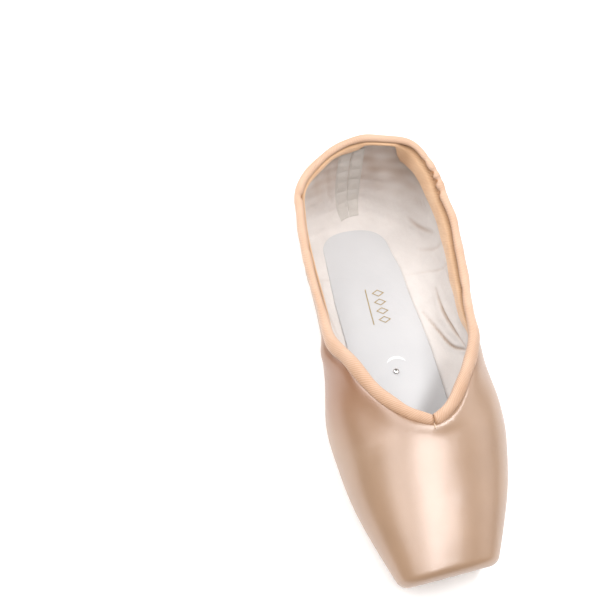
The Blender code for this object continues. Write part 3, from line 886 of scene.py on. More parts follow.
def material_base(name):
    """A new material: its tree, its Principled shader and its Object coordinates."""
    material = bpy.data.materials.new(name)
    material.use_nodes = True
    tree = material.node_tree
    where = tree.nodes.new("ShaderNodeTexCoord").outputs["Object"]
    return material, tree, tree.nodes["Principled BSDF"], where


def cloth_map(tree):
    """The piece's own cloth coordinates, in metres."""
    return add_node(tree, "UVMap", {"uv_map": "cloth"}).outputs["UV"]


def grouped(tree, group, **inputs):
    """What a node group puts out, placed in a material."""
    return add_node(tree, "Group", {"node_tree": group}, **inputs).outputs


def between(tree, mask, low, high, dark, light):
    """A colour between two, as a mask goes from low to high."""
    share = add_node(tree, "MapRange", None, Value=mask, From_Min=low, From_Max=high).outputs[0]
    mix = add_node(tree, "Mix", {"data_type": "RGBA"}, _0=share, _6=(*dark, 1.0), _7=(*light, 1.0))
    return mix.outputs[2]


def bump(tree, height, depth, strength=1.0, under=None):
    """A Bump node's normal, on another one if there is one."""
    node = add_node(tree, "Bump", None, Height=height, Distance=depth, Strength=strength)
    if under is not None:
        fill(tree, node, Normal=under)
    return node.outputs["Normal"]


def shadowed(tree, unshaded, deep):
    """A colour, turned to a deeper one by the piece's painted shade: in creases, seams, grooves, hollows
    and at the wings.
    """
    painted_shade = add_node(tree, "Attribute", {"attribute_name": "painted_shade"}).outputs["Fac"]
    return add_node(tree, "Mix", {"data_type": "RGBA"}, _0=painted_shade, _6=unshaded, _7=(*deep, 1.0)).outputs[2]


def mixed_shade(tree, pattern, share, tone):
    """A weave's or rib's shade, mixed by a share with the uneven tone."""
    return arithmetic(tree, "MULTIPLY_ADD", pattern, share, arithmetic(tree, "MULTIPLY", tone, 1 - share))


def satin_material():
    material, tree, shader, where = material_base("Peach satin")
    tone = grouped(tree, TONE, Where=where, Patch=0.022)
    weave = grouped(tree, WEAVE, Where=cloth_map(tree), Thread=0.00035)
    color = between(tree, tone["Mask"], 0.35, 0.65, (0.370, 0.225, 0.136), (0.402, 0.246, 0.149))
    soft = bump(tree, tone["Fine mask"], 0.00006, 0.3)
    # Colour darkened by the painted shade at the wings.
    fill(
        tree, shader, Base_Color=shadowed(tree, color, WING_SHADE_COLOR),
        Normal=bump(tree, weave["Height"], 0.00003, 0.2, soft),
        Roughness=ranged(tree, tone["Fine mask"], 0.28, 0.33), Metallic=0.04, IOR=1.65,
        Specular_IOR_Level=1.0, Specular_Tint=(0.98, 0.945, 0.96, 1.0),
        Sheen_Weight=0.05, Sheen_Roughness=0.4,
    )
    return material


def twill_material(name, dark, light):
    material, tree, shader, where = material_base(name)
    tone = grouped(tree, TONE, Where=where, Patch=0.012)
    ribs = grouped(tree, RIBS, Where=cloth_map(tree), Pitch=RIB_PITCH, Slant=0.6)
    unshaded = between(tree, mixed_shade(tree, ribs["Shade"], 0.35, tone["Mask"]), 0.25, 0.75, dark, light)
    # Colour darkened by painted shade: on the casing low beside the satin, in its groove and at its ends by
    # the slit, and on the facing along its top and corners.
    fill(
        tree, shader, Base_Color=shadowed(tree, unshaded, BINDING_SHADE_COLOR),
        Normal=bump(tree, ribs["Height"], 0.00008, 0.8),
        Roughness=0.62, Sheen_Weight=0.3, Sheen_Roughness=0.5,
    )
    return material


def lining_material(name, dark, light, thread):
    material, tree, shader, where = material_base(name)
    tone = grouped(tree, TONE, Where=where, Patch=0.02)
    weave = grouped(tree, WEAVE, Where=cloth_map(tree), Thread=thread)
    unshaded = between(tree, mixed_shade(tree, weave["Shade"], 0.3, tone["Mask"]), 0.3, 0.7, dark, light)
    soft = bump(tree, tone["Fine mask"], 0.0008, 0.4)
    # Colour darkened by the piece's painted shade, where it has any: on the lining in its creases, along
    # its seams and over the heel's hollow.
    fill(
        tree, shader, Base_Color=shadowed(tree, unshaded, LINING_SHADE_COLOR),
        Normal=bump(tree, weave["Height"], 0.00006, 0.5, soft), Roughness=0.85, Sheen_Weight=0.2,
    )
    return material


def board_material(name, dark, light, roughness):
    material, tree, shader, where = material_base(name)
    tone = grouped(tree, TONE, Where=where, Patch=0.03)
    fill(
        tree, shader, Base_Color=between(tree, tone["Mask"], 0.3, 0.7, dark, light),
        Normal=bump(tree, tone["Fine mask"], 0.0003, 0.3),
        Roughness=ranged(tree, tone["Fine mask"], roughness, roughness + 0.12),
        Coat_Weight=0.12, Coat_Roughness=0.35,
    )
    return material


def suede_material():
    material, tree, shader, where = material_base("Suede sole leather")
    tone = grouped(tree, TONE, Where=where, Patch=0.016)
    nap = noise(tree, where, 2200.0, 4.0)
    soft = bump(tree, tone["Fine mask"], 0.0006, 0.5)
    fill(
        tree, shader, Normal=bump(tree, nap, 0.0002, 0.7, soft), Roughness=0.9, Sheen_Weight=0.4,
        Base_Color=between(tree, tone["Mask"], 0.3, 0.7, (0.42, 0.30, 0.20), (0.60, 0.46, 0.33)),
    )
    return material


def thread_material(name, color):
    material, tree, shader, where = material_base(name)
    tone = grouped(tree, TONE, Where=where, Patch=0.004)
    dark = tuple(0.8 * c for c in color)
    mixed = between(tree, tone["Fine mask"], 0.3, 0.7, dark, color)
    fill(tree, shader, Base_Color=mixed, Roughness=0.7, Sheen_Weight=0.2)
    return material


def metal_material(name, color, roughness, metallic):
    material, tree, shader, where = material_base(name)
    tone = grouped(tree, TONE, Where=where, Patch=0.003)
    dark = tuple(0.75 * c for c in color)
    rough = ranged(tree, tone["Fine mask"], roughness, roughness + 0.15)
    mixed = between(tree, tone["Mask"], 0.3, 0.7, dark, color)
    fill(tree, shader, Base_Color=mixed, Roughness=rough, Metallic=metallic)
    return material


# Upper

# Soft roll of the satin beside the binding: how far from the edge it starts, its height,
# and how far it rises and falls
ROLL_FROM = 0.0024
ROLL_HEIGHT = 0.0011
ROLL_RISE = 0.0022
ROLL_FALL = 0.0060
ROLL_LOSS = 0.7

# Unevenness of the cloth: height of its waves and their length
SATIN_WAVE = (0.00025, 0.024)
BOX_WAVE = (0.00003, 0.027)
LINING_WAVE = (0.0003, 0.019)
LINING_FINE_WAVE = (0.00012, 0.011)

# Dent on the vamp: depth and width
DENT = (0.00012, 0.004)

# Pleats: height, how many to half a turn, and the ring that they fill round their middle
PLEAT_HEIGHT = 0.0009
PLEAT_COUNT = 11
PLEAT_MIDDLE = SOLE_TIP + 0.8 * TIP_ROUND
PLEAT_RING = 0.019
PLEAT_REACH = 0.024
PLEAT_FADE = 0.010

# Seams, as puff beside them and groove: height and width of each
SATIN_SEAM = (0.0003, 4 * SEAM_WIDTH, 0.0008, SEAM_WIDTH)
LINING_SEAM = (0.0004, 0.003, 0.0007, 0.0009)


def satin_relief(points, run):
    """How far the satin stands out from the last, apart from the wall's folds."""
    edge = from_edge(points)
    vamp = 1 - ROLL_LOSS * ease((run - 0.55 * RUN) / (0.15 * RUN))
    out = edge - ROLL_FROM
    roll = ROLL_HEIGHT * ease(out / ROLL_RISE) * hump(np.maximum(out - ROLL_RISE, 0.0), ROLL_FALL)
    gathered = roll * vamp
    soft = ease((run - 0.45 * RUN) / (0.2 * RUN))
    uneven = SATIN_WAVE[0] * soft * ripple(points, SATIN_WAVE[1], 1.0)
    uneven += BOX_WAVE[0] * ripple(points, BOX_WAVE[1], 2.0)
    dent = -DENT[0] * hump(np.linalg.norm(points - DENT_AT, axis=-1), DENT[1])
    return gathered + uneven + dent + pleats(points, run) + seam_grooves(points)


def pleats(points, run):
    """Gathers of the satin under the toe, fanned round the tip of the outsole."""
    out = points[..., 0]
    back = run - PLEAT_MIDDLE
    angle = np.arctan2(out, -back)
    distance = np.hypot(out, back) - PLEAT_RING
    fan = ease((PLEAT_REACH - distance) / PLEAT_FADE) * ease((PLEAT_MIDDLE + 0.012 - run) / 0.014)
    under = ease((0.016 - points[..., 2]) / 0.008)
    wave = np.abs(np.sin(angle * PLEAT_COUNT + 0.3 * np.sin(angle * 5))) ** 0.7
    return PLEAT_HEIGHT * fan * under * (wave - 0.6)


def seam_line(points, path, puff, puff_width, cut, cut_width):
    """A groove along a path, with the cloth puffed up beside it."""
    return puff * near_path(points, path, puff_width) - cut * near_path(points, path, cut_width)


def seam_grooves(points):
    """The side seams and the back seam, drawn into the satin."""
    groove = np.zeros(points.shape[:-1])
    for path in (wall_path(1, SIDE_SEAM), wall_path(-1, SIDE_SEAM), back_seam(0.0)):
        groove += seam_line(points, path, *SATIN_SEAM)
    return groove


SIDE_SEAM = ((0.912, 0.06), (0.887, 0.25), (0.860, 0.45), (0.845, 0.72), (0.832, 1.03))


@functools.lru_cache(maxsize=None)
def back_seam(off):
    """The back seam, a little to the left of the middle, from the sole to the topline."""
    run = HEEL_END - SEAM_SHIFT
    _, _, length = section(run)
    low = from_bottom(run)
    high = length[-1] - from_crown(run)
    points = []
    for reach in np.linspace(low, high, 60):
        point, _, _, normal = skin_frame(run, length[-1] - reach)
        points.append(on_side(point + off * normal, -1))
    return np.array(points)


DENT_AT = np.array([0.0044, 0.0287 + RUN_START, 0.0398])


def satin_painted_shade(points):
    """How dark the satin's painted shade is at the wings, most of all close to the binding."""
    edge = from_edge(points)
    run = points[..., 1] - RUN_START
    deep = 1 - ease((edge - WING_DEEP[0]) / WING_DEEP[1])
    wide = 0.90 * (1 - ease((edge - WING_WIDE[0]) / WING_WIDE[1]))
    marks = np.zeros(points.shape[:-1])
    for side, middle, reach, shade in WING_SHADES:
        part = hump(run - middle * RUN, reach * RUN) * ease(side * points[..., 0] / 0.012)
        marks += shade * part * np.maximum(deep, wide)
    return marks


def make_satin(material):
    """The satin: the outer skin with its folds, gathers, pleats and seams."""
    points, normals, run, cloth = skin_grid(SATIN_COLUMNS)
    grids = []
    for side in (1, -1):
        rest = on_side(points, side)
        outward = on_side(normals, side)
        off = satin_relief(rest, run[:, None]) - fold_depth(rest)
        moved = settle(rest + outward * off[..., None], run[:, None])
        grids.append((moved, cloth * (1, side), outward, satin_painted_shade(rest)))
    return fit(thicken(grid_piece("satin_upper", grids, material), SATIN_CLOTH), "upper")


def lining_relief(points, run):
    """How far the lining stands in from the wall, apart from the wall's folds."""
    soft = ease((run - 0.35 * RUN) / (0.2 * RUN))
    uneven = LINING_WAVE[0] * soft * ripple(points, LINING_WAVE[1], 4.0)
    uneven += LINING_FINE_WAVE[0] * ripple(points, LINING_FINE_WAVE[1], 5.0)
    for side in (1, -1):
        uneven += seam_line(points, wall_path(side, SIDE_SEAM), *LINING_SEAM)
    for path, puff_width, puff, cut_width, cut in crease_paths():
        uneven += seam_line(points, path, puff, puff_width, cut, cut_width)
    return uneven


def lining_painted_shade(points):
    """How dark the lining's painted shade is, from 0 to 1: over the heel's hollow, along the side seams and
    along its creases.
    """
    behind = points[..., 1] - RUN_START - RUN
    hollow = hump(points[..., 2] - HEEL_SHADE_AT, HEEL_SHADE_TALL) * ease((behind - 0.004) / 0.022)
    marks = HEEL_SHADE * hollow * (1 + 0.5 * ripple(points, 0.017, 3.0))
    for side in (1, -1):
        marks = np.maximum(marks, 0.25 * near_path(points, wall_path(side, SIDE_SEAM), 0.0008))
    for path, _, _, cut_width, cut in crease_paths():
        marks = np.maximum(marks, min(cut / 0.0018, 1.0) * near_path(points, path, cut_width))
    return marks


# Painted shade over the heel's hollow inside: how dark, the height of its middle, and its height reach
HEEL_SHADE = 0.58
HEEL_SHADE_AT = 0.047
HEEL_SHADE_TALL = 0.020


def make_lining(material):
    """The cotton lining, on the inside of the wall."""
    points, normals, run, cloth = skin_grid(LINING_COLUMNS)
    inner = np.array([wall(r) for r in run])[:, None]
    grids = []
    for side in (1, -1):
        rest = on_side(points, side)
        outward = on_side(normals, side)
        off = lining_relief(rest, run[:, None]) + fold_depth(rest) + inner
        moved = settle(rest - outward * off[..., None], run[:, None])
        grids.append((moved, cloth * (1, side), -outward, lining_painted_shade(rest)))
    return fit(thicken(grid_piece("cotton_lining", grids, material), LINING_CLOTH))


# Binding

# Casing round its section, from below outside over the edge to the inside: side of the
# wall, distance off that side, and up from the wall's edge
CASING_LOOP = (
    (1, 0.02 * BINDING_ROLL, -1.00 * OUTER_DROP),
    (1, 0.42 * BINDING_ROLL, -0.97 * OUTER_DROP),
    (1, 0.78 * BINDING_ROLL, -0.74 * OUTER_DROP),
    (1, 0.97 * BINDING_ROLL, -0.36 * OUTER_DROP),
    (1, 0.86 * BINDING_ROLL, 0.14 * BINDING_ROLL),
    (1, 0.38 * BINDING_ROLL, 0.68 * BINDING_ROLL),
    (-1, -0.46 * BINDING_ROLL, 0.80 * BINDING_ROLL),
    (-1, 0.16 * BINDING_ROLL, 0.48 * BINDING_ROLL),
    (-1, 0.34 * BINDING_ROLL, 0.02 * BINDING_ROLL),
    (-1, 0.04 * BINDING_ROLL, -0.20 * OUTER_DROP),
)
CASING_POINTS = 36
CASING_HALF = 0.0002
CASING_END = 0.0010
SLIT_SHADE = 0.0007
END_REACH = 0.0016
SLIT_LOOK = 0.0001

# Casing's size: loss and reach at the throat; gain, run and reach at the left wing
THROAT_SLIM = (0.14, 0.009)
WING_SWELL = (0.16, 0.49 * RUN, 0.016)

# Kinks of the casing: side, run, how far along they reach, how much they narrow its inner
# half, and how far they push that in
KINKS = (
    (1, run_of(RUN, 31), 0.0018, 0.30, 0.0004),
    (1, run_of(RUN, 19), 0.0016, 0.46, 0.0009),
    (1, run_of(RUN, 11), 0.0015, 0.50, 0.0010),
    (1, run_of(RUN, 1), 0.0018, 0.40, 0.0007),
    (-1, run_of(RUN, 6), 0.0020, 0.42, 0.0006),
    (-1, 0.74 * RUN, 0.0250, 0.25, 0.0006),
    (-1, 0.86 * RUN, 0.0026, 0.12, 0.0002),
    (1, 0.70 * RUN, 0.0030, 0.12, 0.0002),
)

# How far down the facing strip reaches: place from the middle of the heel, the left side
# negative, and share of INNER_DROP
FACING_REACH = (
    (-0.190, 0.60),
    (-0.060, 0.60),
    (-0.045, 0.45),
    (-0.026, 0.50),
    (-0.012, 0.70),
    (-0.005, 0.62),
    (-0.001, 0.30),
    (0.0185, 0.22),
    (0.0215, 0.95),
    (0.0250, 1.40),
    (0.0320, 1.60),
    (0.1080, 1.68),
    (0.1230, 1.55),
    (0.1330, 1.20),
    (0.1440, 0.80),
    (0.1600, 0.60),
    (0.1900, 0.55),
)


def closed_loop(points, cloth, marks):
    """A grid of rings, each closed by its first point again."""
    points, cloth, marks = np.array(points), np.array(cloth), np.array(marks)
    points = np.concatenate([points, points[:, :1]], 1)
    cloth = np.concatenate([cloth, cloth[:, -1:] + (0, 0.001)], 1)
    return points, cloth, None, np.concatenate([marks, marks[:, :1]], 1)


def casing_ring(run):
    """The casing's section round its outside and back along the wall: across and up."""
    half = wall(run) / 2 + CASING_HALF
    outside = [(side * (half + off), up) for side, off, up in CASING_LOOP]
    curve = natural_curve(range(len(outside)), outside)
    ring = [curve(share) for share in np.linspace(0, len(outside) - 1, CASING_POINTS)]
    ring += [(-half, -0.08 * OUTER_DROP), (-half, 0.0), (-0.5 * half, CASING_HALF)]
    ring += [(0.5 * half, CASING_HALF), (half, 0.0), (half, -0.95 * OUTER_DROP)]
    return np.array(ring)


def pinch(side, run):
    """How much the casing keeps of its size at a place, and how far it is pushed in."""
    keep = 1.0
    push = 0.0
    for at_side, at_run, reach, depth, inwards in KINKS:
        if side == at_side:
            keep *= 1 - depth * hump(run - at_run, reach)
            push += inwards * hump(run - at_run, reach)
    return keep, push


def casing_painted_shade(run, keep, count):
    """Painted shade on the casing's cloth round its section, from 0 to 1: low down beside the satin on the
    vamp, and in the groove beside the facing behind it."""
    share = np.arange(count) / CASING_POINTS
    behind = ease((run - 0.50 * RUN) / (0.15 * RUN))
    low = 0.70 * (1 - ease(share / 0.62)) * (1 - 0.8 * behind)
    groove = ease((share - 0.66) / 0.32) * (0.10 + (0.50 + 0.9 * (1 - keep)) * behind)
    return np.clip(np.maximum(low, groove), 0.0, 1.0)


def along_collar(rows):
    """Length along the topline at each of its rows."""
    places = np.array([on_side(edge_line()[i], side) for side, i in rows])
    return lengths_along(places)


def make_casing(material):
    """The round casing of bias cloth over the topline, open at the slit."""
    rows = collar_rows(SLIT_LOOK)
    along = along_collar(rows)
    runs = edge_runs()
    points = []
    cloth = []
    marks = []
    for (side, index), length in zip(rows, along):
        run = runs[index]
        ring = casing_ring(run)
        end = min(length, along[-1] - length)
        keep, push = pinch(side, run)
        size = 1 - 0.05 * (1 - min(end / CASING_END, 1.0)) ** 2
        size -= THROAT_SLIM[0] * hump(run - VAMP_LENGTH, THROAT_SLIM[1])
        if side < 0:
            size += WING_SWELL[0] * hump(run - WING_SWELL[1], WING_SWELL[2])
        middle = np.array([0.0, -0.25 * OUTER_DROP])
        wave = 1 + 0.05 * math.sin(length / 0.0083) + 0.04 * math.sin(length / 0.0031 + 1)
        outside = np.arange(len(ring)) < CASING_POINTS
        inner = ease((np.arange(len(ring)) / CASING_POINTS - 0.25) / 0.4)
        scale = np.where(outside, size * wave * (1 - (1 - keep) * inner), 1.0)[:, None]
        across, up = (middle + (ring - middle) * scale).T
        across = across + np.where(outside, push * inner, 0.0)
        point = beside_edge(side, index, across, up)
        point[:, 0] = side * np.maximum(side * point[:, 0] * ease(end / END_REACH), SLIT_LOOK)
        points.append(settle(point, run))
        # Painted shade round the casing, and darker still at its ends by the slit.
        marks.append(np.maximum(casing_painted_shade(run, keep, len(ring)), 0.85 * (1 - ease(end / SLIT_SHADE))))
        cloth.append(np.stack([np.full(len(ring), length), lengths_along(ring)], -1))
    piece = grid_piece("binding_casing", [closed_loop(points, cloth, marks)], material, close=True)
    return fit(piece, "collar_binding")


# Facing strip inside, below the casing: off the wall's inner face, share of its reach down
FACING_LOOP = (
    (0.00 * BINDING_CLOTH, 0.00),
    (0.10 * BINDING_CLOTH, 0.05),
    (1.00 * BINDING_CLOTH, 0.13),
    (2.10 * BINDING_CLOTH, 0.26),
    (2.60 * BINDING_CLOTH, 0.50),
    (2.50 * BINDING_CLOTH, 0.76),
    (2.00 * BINDING_CLOTH, 0.95),
    (1.30 * BINDING_CLOTH, 1.00),
    (0.80 * BINDING_CLOTH, 0.97),
    (0.20 * BINDING_CLOTH, 0.60),
)
FACING_STEPS = 28
FACING_CORNER = 0.026


def make_facing(material):
    """The flat inner edge of the binding, felled to the lining."""
    rows = collar_rows(SLIT)
    along = along_collar(rows)
    runs = edge_runs()
    places, reaches = np.array(FACING_REACH).T
    points = []
    cloth = []
    marks = []
    for (side, index), length in zip(rows, along):
        run = runs[index]
        half = wall(run) / 2 + CLEARANCE / 2
        curve = natural_curve(range(len(FACING_LOOP)), FACING_LOOP)
        steps = np.linspace(0, len(FACING_LOOP) - 1, FACING_STEPS)
        off, share = np.array([curve(step) for step in steps]).T
        reach = np.interp(side * (HEEL_END - run), places, reaches)
        off = off * np.interp(reach, (0.5, 1.6), (0.75, 1.40))
        reach *= INNER_DROP
        reach *= 1 + 0.05 * math.sin(length / 0.011) + 0.04 * math.sin(length / 0.0047 + 2)
        puff = 0.0004 * (1 + math.sin(length / 0.0062 + 1) * math.sin(length / 0.0171))
        across = -(half + off + share**2 * puff)
        corner_shade = 0.35 * hump(side * (HEEL_END - run) - FACING_CORNER, 0.006)
        # Painted shade along the facing's top under the casing, and at its corners either side of the heel.
        marks.append(np.maximum(0.80 * (1 - ease((share - 0.08) / 0.20)), corner_shade))
        points.append(settle(beside_edge(side, index, across, -share * reach), run))
        round_length = lengths_along(np.stack([off, share * reach], -1))
        cloth.append(np.stack([np.full(len(off), length), round_length], -1))
    piece = grid_piece("binding_facing", [closed_loop(points, cloth, marks)], material, close=True)
    return fit(piece)


# Tape over the back seam, inside
TAPE_FROM = -0.0170
TAPE_TO = 0.0006
TAPE_SEAM = -0.0080
TAPE_LOW = 0.0078
TAPE_HIGH = 0.061
TAPE_CELL = 0.0088
TAPE_ROWS = 84
TAPE_COLUMNS = 46
TAPE_PUFF = 0.0006
TAPE_GROOVE = 0.0006
TAPE_GROOVE_WIDTH = 0.0005
TAPE_RIM = 0.0014
TAPE_FOOT = 0.004


def make_tape(material):
    """The tape felled over the back seam inside, puckered between its cross stitches."""
    heights = np.linspace(TAPE_LOW, TAPE_HIGH, TAPE_ROWS)
    offsets = np.linspace(TAPE_FROM, TAPE_TO, TAPE_COLUMNS)
    shape = (TAPE_ROWS, TAPE_COLUMNS)
    rest = np.zeros((*shape, 3))
    outward = np.zeros((*shape, 3))
    runs = np.broadcast_to(HEEL_END - np.abs(offsets), shape)
    for column, offset in enumerate(offsets):
        run = HEEL_END - abs(offset)
        _, _, length = section(run)
        side = 1 if offset > 0 else -1
        for row, height in enumerate(heights):
            point, _, _, normal = skin_frame(run, length[-1] - reach_at_height(run, height))
            rest[row, column] = on_side(point, side)
            outward[row, column] = on_side(normal, side)
    share = (offsets - TAPE_SEAM) / (TAPE_TO - TAPE_SEAM)
    along = np.abs(np.sin(math.pi * (heights - TAPE_LOW) / TAPE_CELL)) ** 0.5
    puff = TAPE_PUFF * along[:, None] * np.abs(np.sin(math.pi * share)) ** 0.5
    groove = TAPE_GROOVE * hump(offsets - TAPE_SEAM, TAPE_GROOVE_WIDTH)
    rim = ease(np.minimum(offsets - TAPE_FROM, TAPE_TO - offsets) / TAPE_RIM)
    foot = ease((heights - TAPE_LOW) / TAPE_FOOT)[:, None]
    lift = foot * (TAPE_CLOTH * rim + (puff - groove) * rim)
    lined = lining_relief(rest, runs) + fold_depth(rest) + wall(HEEL_END)
    points = settle(rest - outward * (lined + lift)[..., None], runs)
    cloth = np.stack(np.meshgrid(heights, offsets, indexing="ij"), -1)
    return fit(thicken(grid_piece("heel_tape", [(points, cloth, -outward)], material), TAPE_CLOTH))


def stitch_row(name, path, outward, material):
    """Stitches along a path of points, each a slim rounded bar lying on the cloth."""
    path = np.array(path)
    outward = np.array(outward)
    length = lengths_along(path)
    row = bmesh.new()

    def line_at(line, place_on):
        return Vector([np.interp(place_on, length, line[:, i]) for i in range(3)])

    pitch = STITCH_LENGTH + STITCH_GAP
    for start in np.arange(STITCH_GAP, length[-1] - STITCH_LENGTH, pitch):
        middle = start + STITCH_LENGTH / 2
        at = line_at(path, middle)
        ahead = line_at(path, middle + STITCH_LENGTH / 2) - at
        out = line_at(outward, middle)
        ahead.normalize()
        out = (out - ahead * out.dot(ahead)).normalized()
        turn = Matrix((ahead, out.cross(ahead), out)).transposed().to_4x4()
        size = Matrix.Diagonal((STITCH_LENGTH / 2, STITCH_RADIUS * 1.3, STITCH_RADIUS, 1.0))
        bar = Matrix.Translation(at) @ turn @ size
        bmesh.ops.create_uvsphere(row, u_segments=6, v_segments=4, radius=1.0, matrix=bar)
    return mesh_piece(name, row, material)


def collar_stitches(name, face, off, up, material):
    """A row of stitches along the whole collar, on the outer or inner face."""
    runs = edge_runs()
    path = []
    outward = []
    for side, index in collar_rows(2 * SLIT):
        run = runs[index]
        across = face * (wall(run) / 2 + CLEARANCE + off)
        first, second = beside_edge(side, index, (across, across + face * 0.001), (up, up))
        path.append(settle(first[None], run)[0])
        outward.append(second - first)
    return fit(stitch_row(name, path, outward, material))


# Soles


def sole_rows(start):
    runs = [start] + stretch(start, start + TIP_ROUND, 26, 0.7)
    return runs + [run for run in skin_runs() if run > runs[-1] + MERGE]


def insole_levels(run, out):
    """Heights of the insole's two faces: curved to the upper below, level across above."""
    height, steep = underside(run, out)
    level_run = min(run, RUN)
    edge_height, edge_steep = underside(level_run, INSOLE_HALF(level_run))
    lift = wall(run) + CLEARANCE
    return height + lift * steep, edge_height + lift * edge_steep + INSOLE_THICKNESS


def outsole_levels(run, out):
    """Heights of the outsole's two faces."""
    height, steep = underside(run, out)
    return rise(run), height - CLEARANCE * steep


# Half sections: share of the half width, which face (0 under, 1 top), and how much of the
# thickness the edge is rounded by
INSOLE_ROUND = (
    (0.999, 0, 0.10), (1.000, 1, -0.45), (0.998, 1, -0.20), (0.990, 1, -0.06), (0.978, 1, 0.0),
)
OUTSOLE_ROUND = ((0.94, 0, 0.10), (0.975, 0, 0.24), (0.99, 0, 0.42), (1.00, 0, 0.66), (1.00, 1, 0.0))


INSOLE_DISH = 0.0005
CHANNEL_DEPTH = 0.0006
CHANNEL_INSET = 0.0035
CHANNEL_WIDTH = 0.0006


def sole_profile(rounding, under, over):
    """Half section from the middle of the under face, round the edge, to the middle above."""
    low = [(share, 0, 0.0) for share in np.linspace(0, rounding[0][0] - 0.02, under)]
    high = [(share, 1, 0.0) for share in np.linspace(rounding[-1][0] - 0.02, 0, over)]
    return low + list(rounding) + high


def sole_grid(half_width, start, levels, profile, relief):
    """Points of a sole on side 1, its half section swept from its tip to the heel."""
    grid = []
    cloth = []
    for run in sole_rows(start):
        row = []
        for share, face, worn in profile:
            out = share * half_width(run)
            low, high = levels(run, out)
            height = (high if face else low) + worn * (high - low)
            row.append(place(run, out, height + relief(run, out, share, face)))
        grid.append(row)
        cloth.append([(run, share * half_width(run)) for share, _, _ in profile])
    return np.array(grid), np.array(cloth)


def make_sole(name, half_width, start, levels, profile, relief, material, lay=on_side):
    points, cloth = sole_grid(half_width, start, levels, profile, relief)
    grids = [(lay(points, side), cloth * (1, side), None) for side in (1, -1)]
    return grid_piece(name, grids, material, close=True)


def insole_relief(run, out, share, face):
    """The insole's top is slightly dished."""
    if not face:
        return 0.0
    return -INSOLE_DISH * (1 - share**4) * ease((run - INSOLE_TIP) / TIP_ROUND)


def outsole_relief(run, out, share, face):
    """The stitched channel that runs inside the outsole's edge."""
    if face:
        return 0.0
    inset = OUTSOLE_HALF(run) - out
    return CHANNEL_DEPTH * math.exp(-(((inset - CHANNEL_INSET) / CHANNEL_WIDTH) ** 2))


INSOLE_DRIFT = 0.0038
INSOLE_DRIFT_AT = (0.105, 0.090)
INSOLE_CUT = 0.20
INSOLE_CUT_AT = (0.187, 0.026)
INSOLE_SQUARE = 0.26


def lay_insole(points, side):
    """The insole as it lies: drawn to the left behind, and cut short and square there."""
    run = points[..., 1] - RUN_START
    moved = on_side(points, side)
    moved[..., 0] -= INSOLE_DRIFT * ease((run - INSOLE_DRIFT_AT[0]) / INSOLE_DRIFT_AT[1])
    if side > 0:
        moved[..., 0] -= INSOLE_CUT * ease((run - INSOLE_CUT_AT[0]) / INSOLE_CUT_AT[1]) * points[..., 0]
    moved[..., 1] -= INSOLE_SQUARE * np.maximum(run - RUN, 0.0)
    return moved


def make_insole(material):
    profile = sole_profile(INSOLE_ROUND, 8, 24)
    piece = make_sole(
        "insole_board", INSOLE_HALF, INSOLE_TIP, insole_levels, profile, insole_relief, material, lay_insole
    )
    return fit(piece, "insole")


def make_outsole(material):
    profile = sole_profile(OUTSOLE_ROUND, 34, 8)
    piece = make_sole(
        "suede_outsole", OUTSOLE_HALF, SOLE_TIP, outsole_levels, profile, outsole_relief, material
    )
    return fit(piece, "outsole")


def insole_top(run, out):
    """Height of the insole's top face at a place."""
    half = INSOLE_HALF(run)
    _, high = insole_levels(run, out)
    return high + insole_relief(run, out, abs(out) / half, 1)


# Small things on the insole

FOIL_RUN = (0.1505, 0.1775)
FOIL_LINE_AT = -0.0062
FOIL_LINE_WIDTH = 0.00058
FOIL_MARKS = 4
FOIL_MARK_AT = 0.0008
FOIL_MARK_HALF = (0.0026, 0.0037)
FOIL_STROKE = 0.00052
FOIL_THICKNESS = 0.00004
FOIL_LIFT = 0.00014


def lay_on_insole(foil):
    """Puts flat marks, drawn on run and distance out, on the insole's top face."""
    for vert in foil.verts:
        run, out, lift = vert.co.y, vert.co.x, vert.co.z
        vert.co = place(run, out, insole_top(run, out) + FOIL_LIFT + lift)


def make_foil(material):
    """A thin gold bar with a row of plain lozenge outlines beside it."""
    foil = bmesh.new()
    middle = sum(FOIL_RUN) / 2
    size = Matrix.Diagonal((FOIL_LINE_WIDTH, FOIL_RUN[1] - FOIL_RUN[0], FOIL_THICKNESS, 1.0))
    bar_at = Matrix.Translation((FOIL_LINE_AT, middle, FOIL_THICKNESS / 2))
    bmesh.ops.create_cube(foil, size=1.0, matrix=bar_at @ size)
    for i in range(FOIL_MARKS):
        run = FOIL_RUN[0] + (FOIL_RUN[1] - FOIL_RUN[0]) * (i + 0.5) / FOIL_MARKS
        spot = Matrix.Translation((FOIL_MARK_AT, run, 0.0))
        shape = Matrix.Diagonal((FOIL_MARK_HALF[1], FOIL_MARK_HALF[0], 1.0, 1.0))
        ring = bmesh.ops.create_circle(foil, cap_ends=True, segments=4, radius=1.0, matrix=spot @ shape)
        corners = ring["verts"]
        face = corners[0].link_faces[0]
        bmesh.ops.inset_region(
            foil, faces=[face], thickness=FOIL_STROKE, use_even_offset=True, use_boundary=True
        )
        bmesh.ops.delete(foil, geom=[face], context="FACES_ONLY")
        rim = list({f for v in corners for f in v.link_faces})
        raised = bmesh.ops.extrude_face_region(foil, geom=rim)["geom"]
        up = [item for item in raised if isinstance(item, bmesh.types.BMVert)]
        bmesh.ops.translate(foil, verts=up, vec=(0, 0, FOIL_THICKNESS))
    bmesh.ops.recalc_face_normals(foil, faces=foil.faces)
    bmesh.ops.subdivide_edges(foil, edges=[e for e in foil.edges if e.calc_length() > 0.005], cuts=12)
    lay_on_insole(foil)
    return fit(mesh_piece("gold_foil_marks", foil, material, smooth=False))


CRESCENT_AT = (0.0014, 0.1204)
CRESCENT_RADIUS = 0.0064
CRESCENT_SWEEP = math.radians(58)
CRESCENT_TURN = math.radians(-2)
CRESCENT_HALF = 0.0010
CRESCENT_HEIGHT = 0.00035


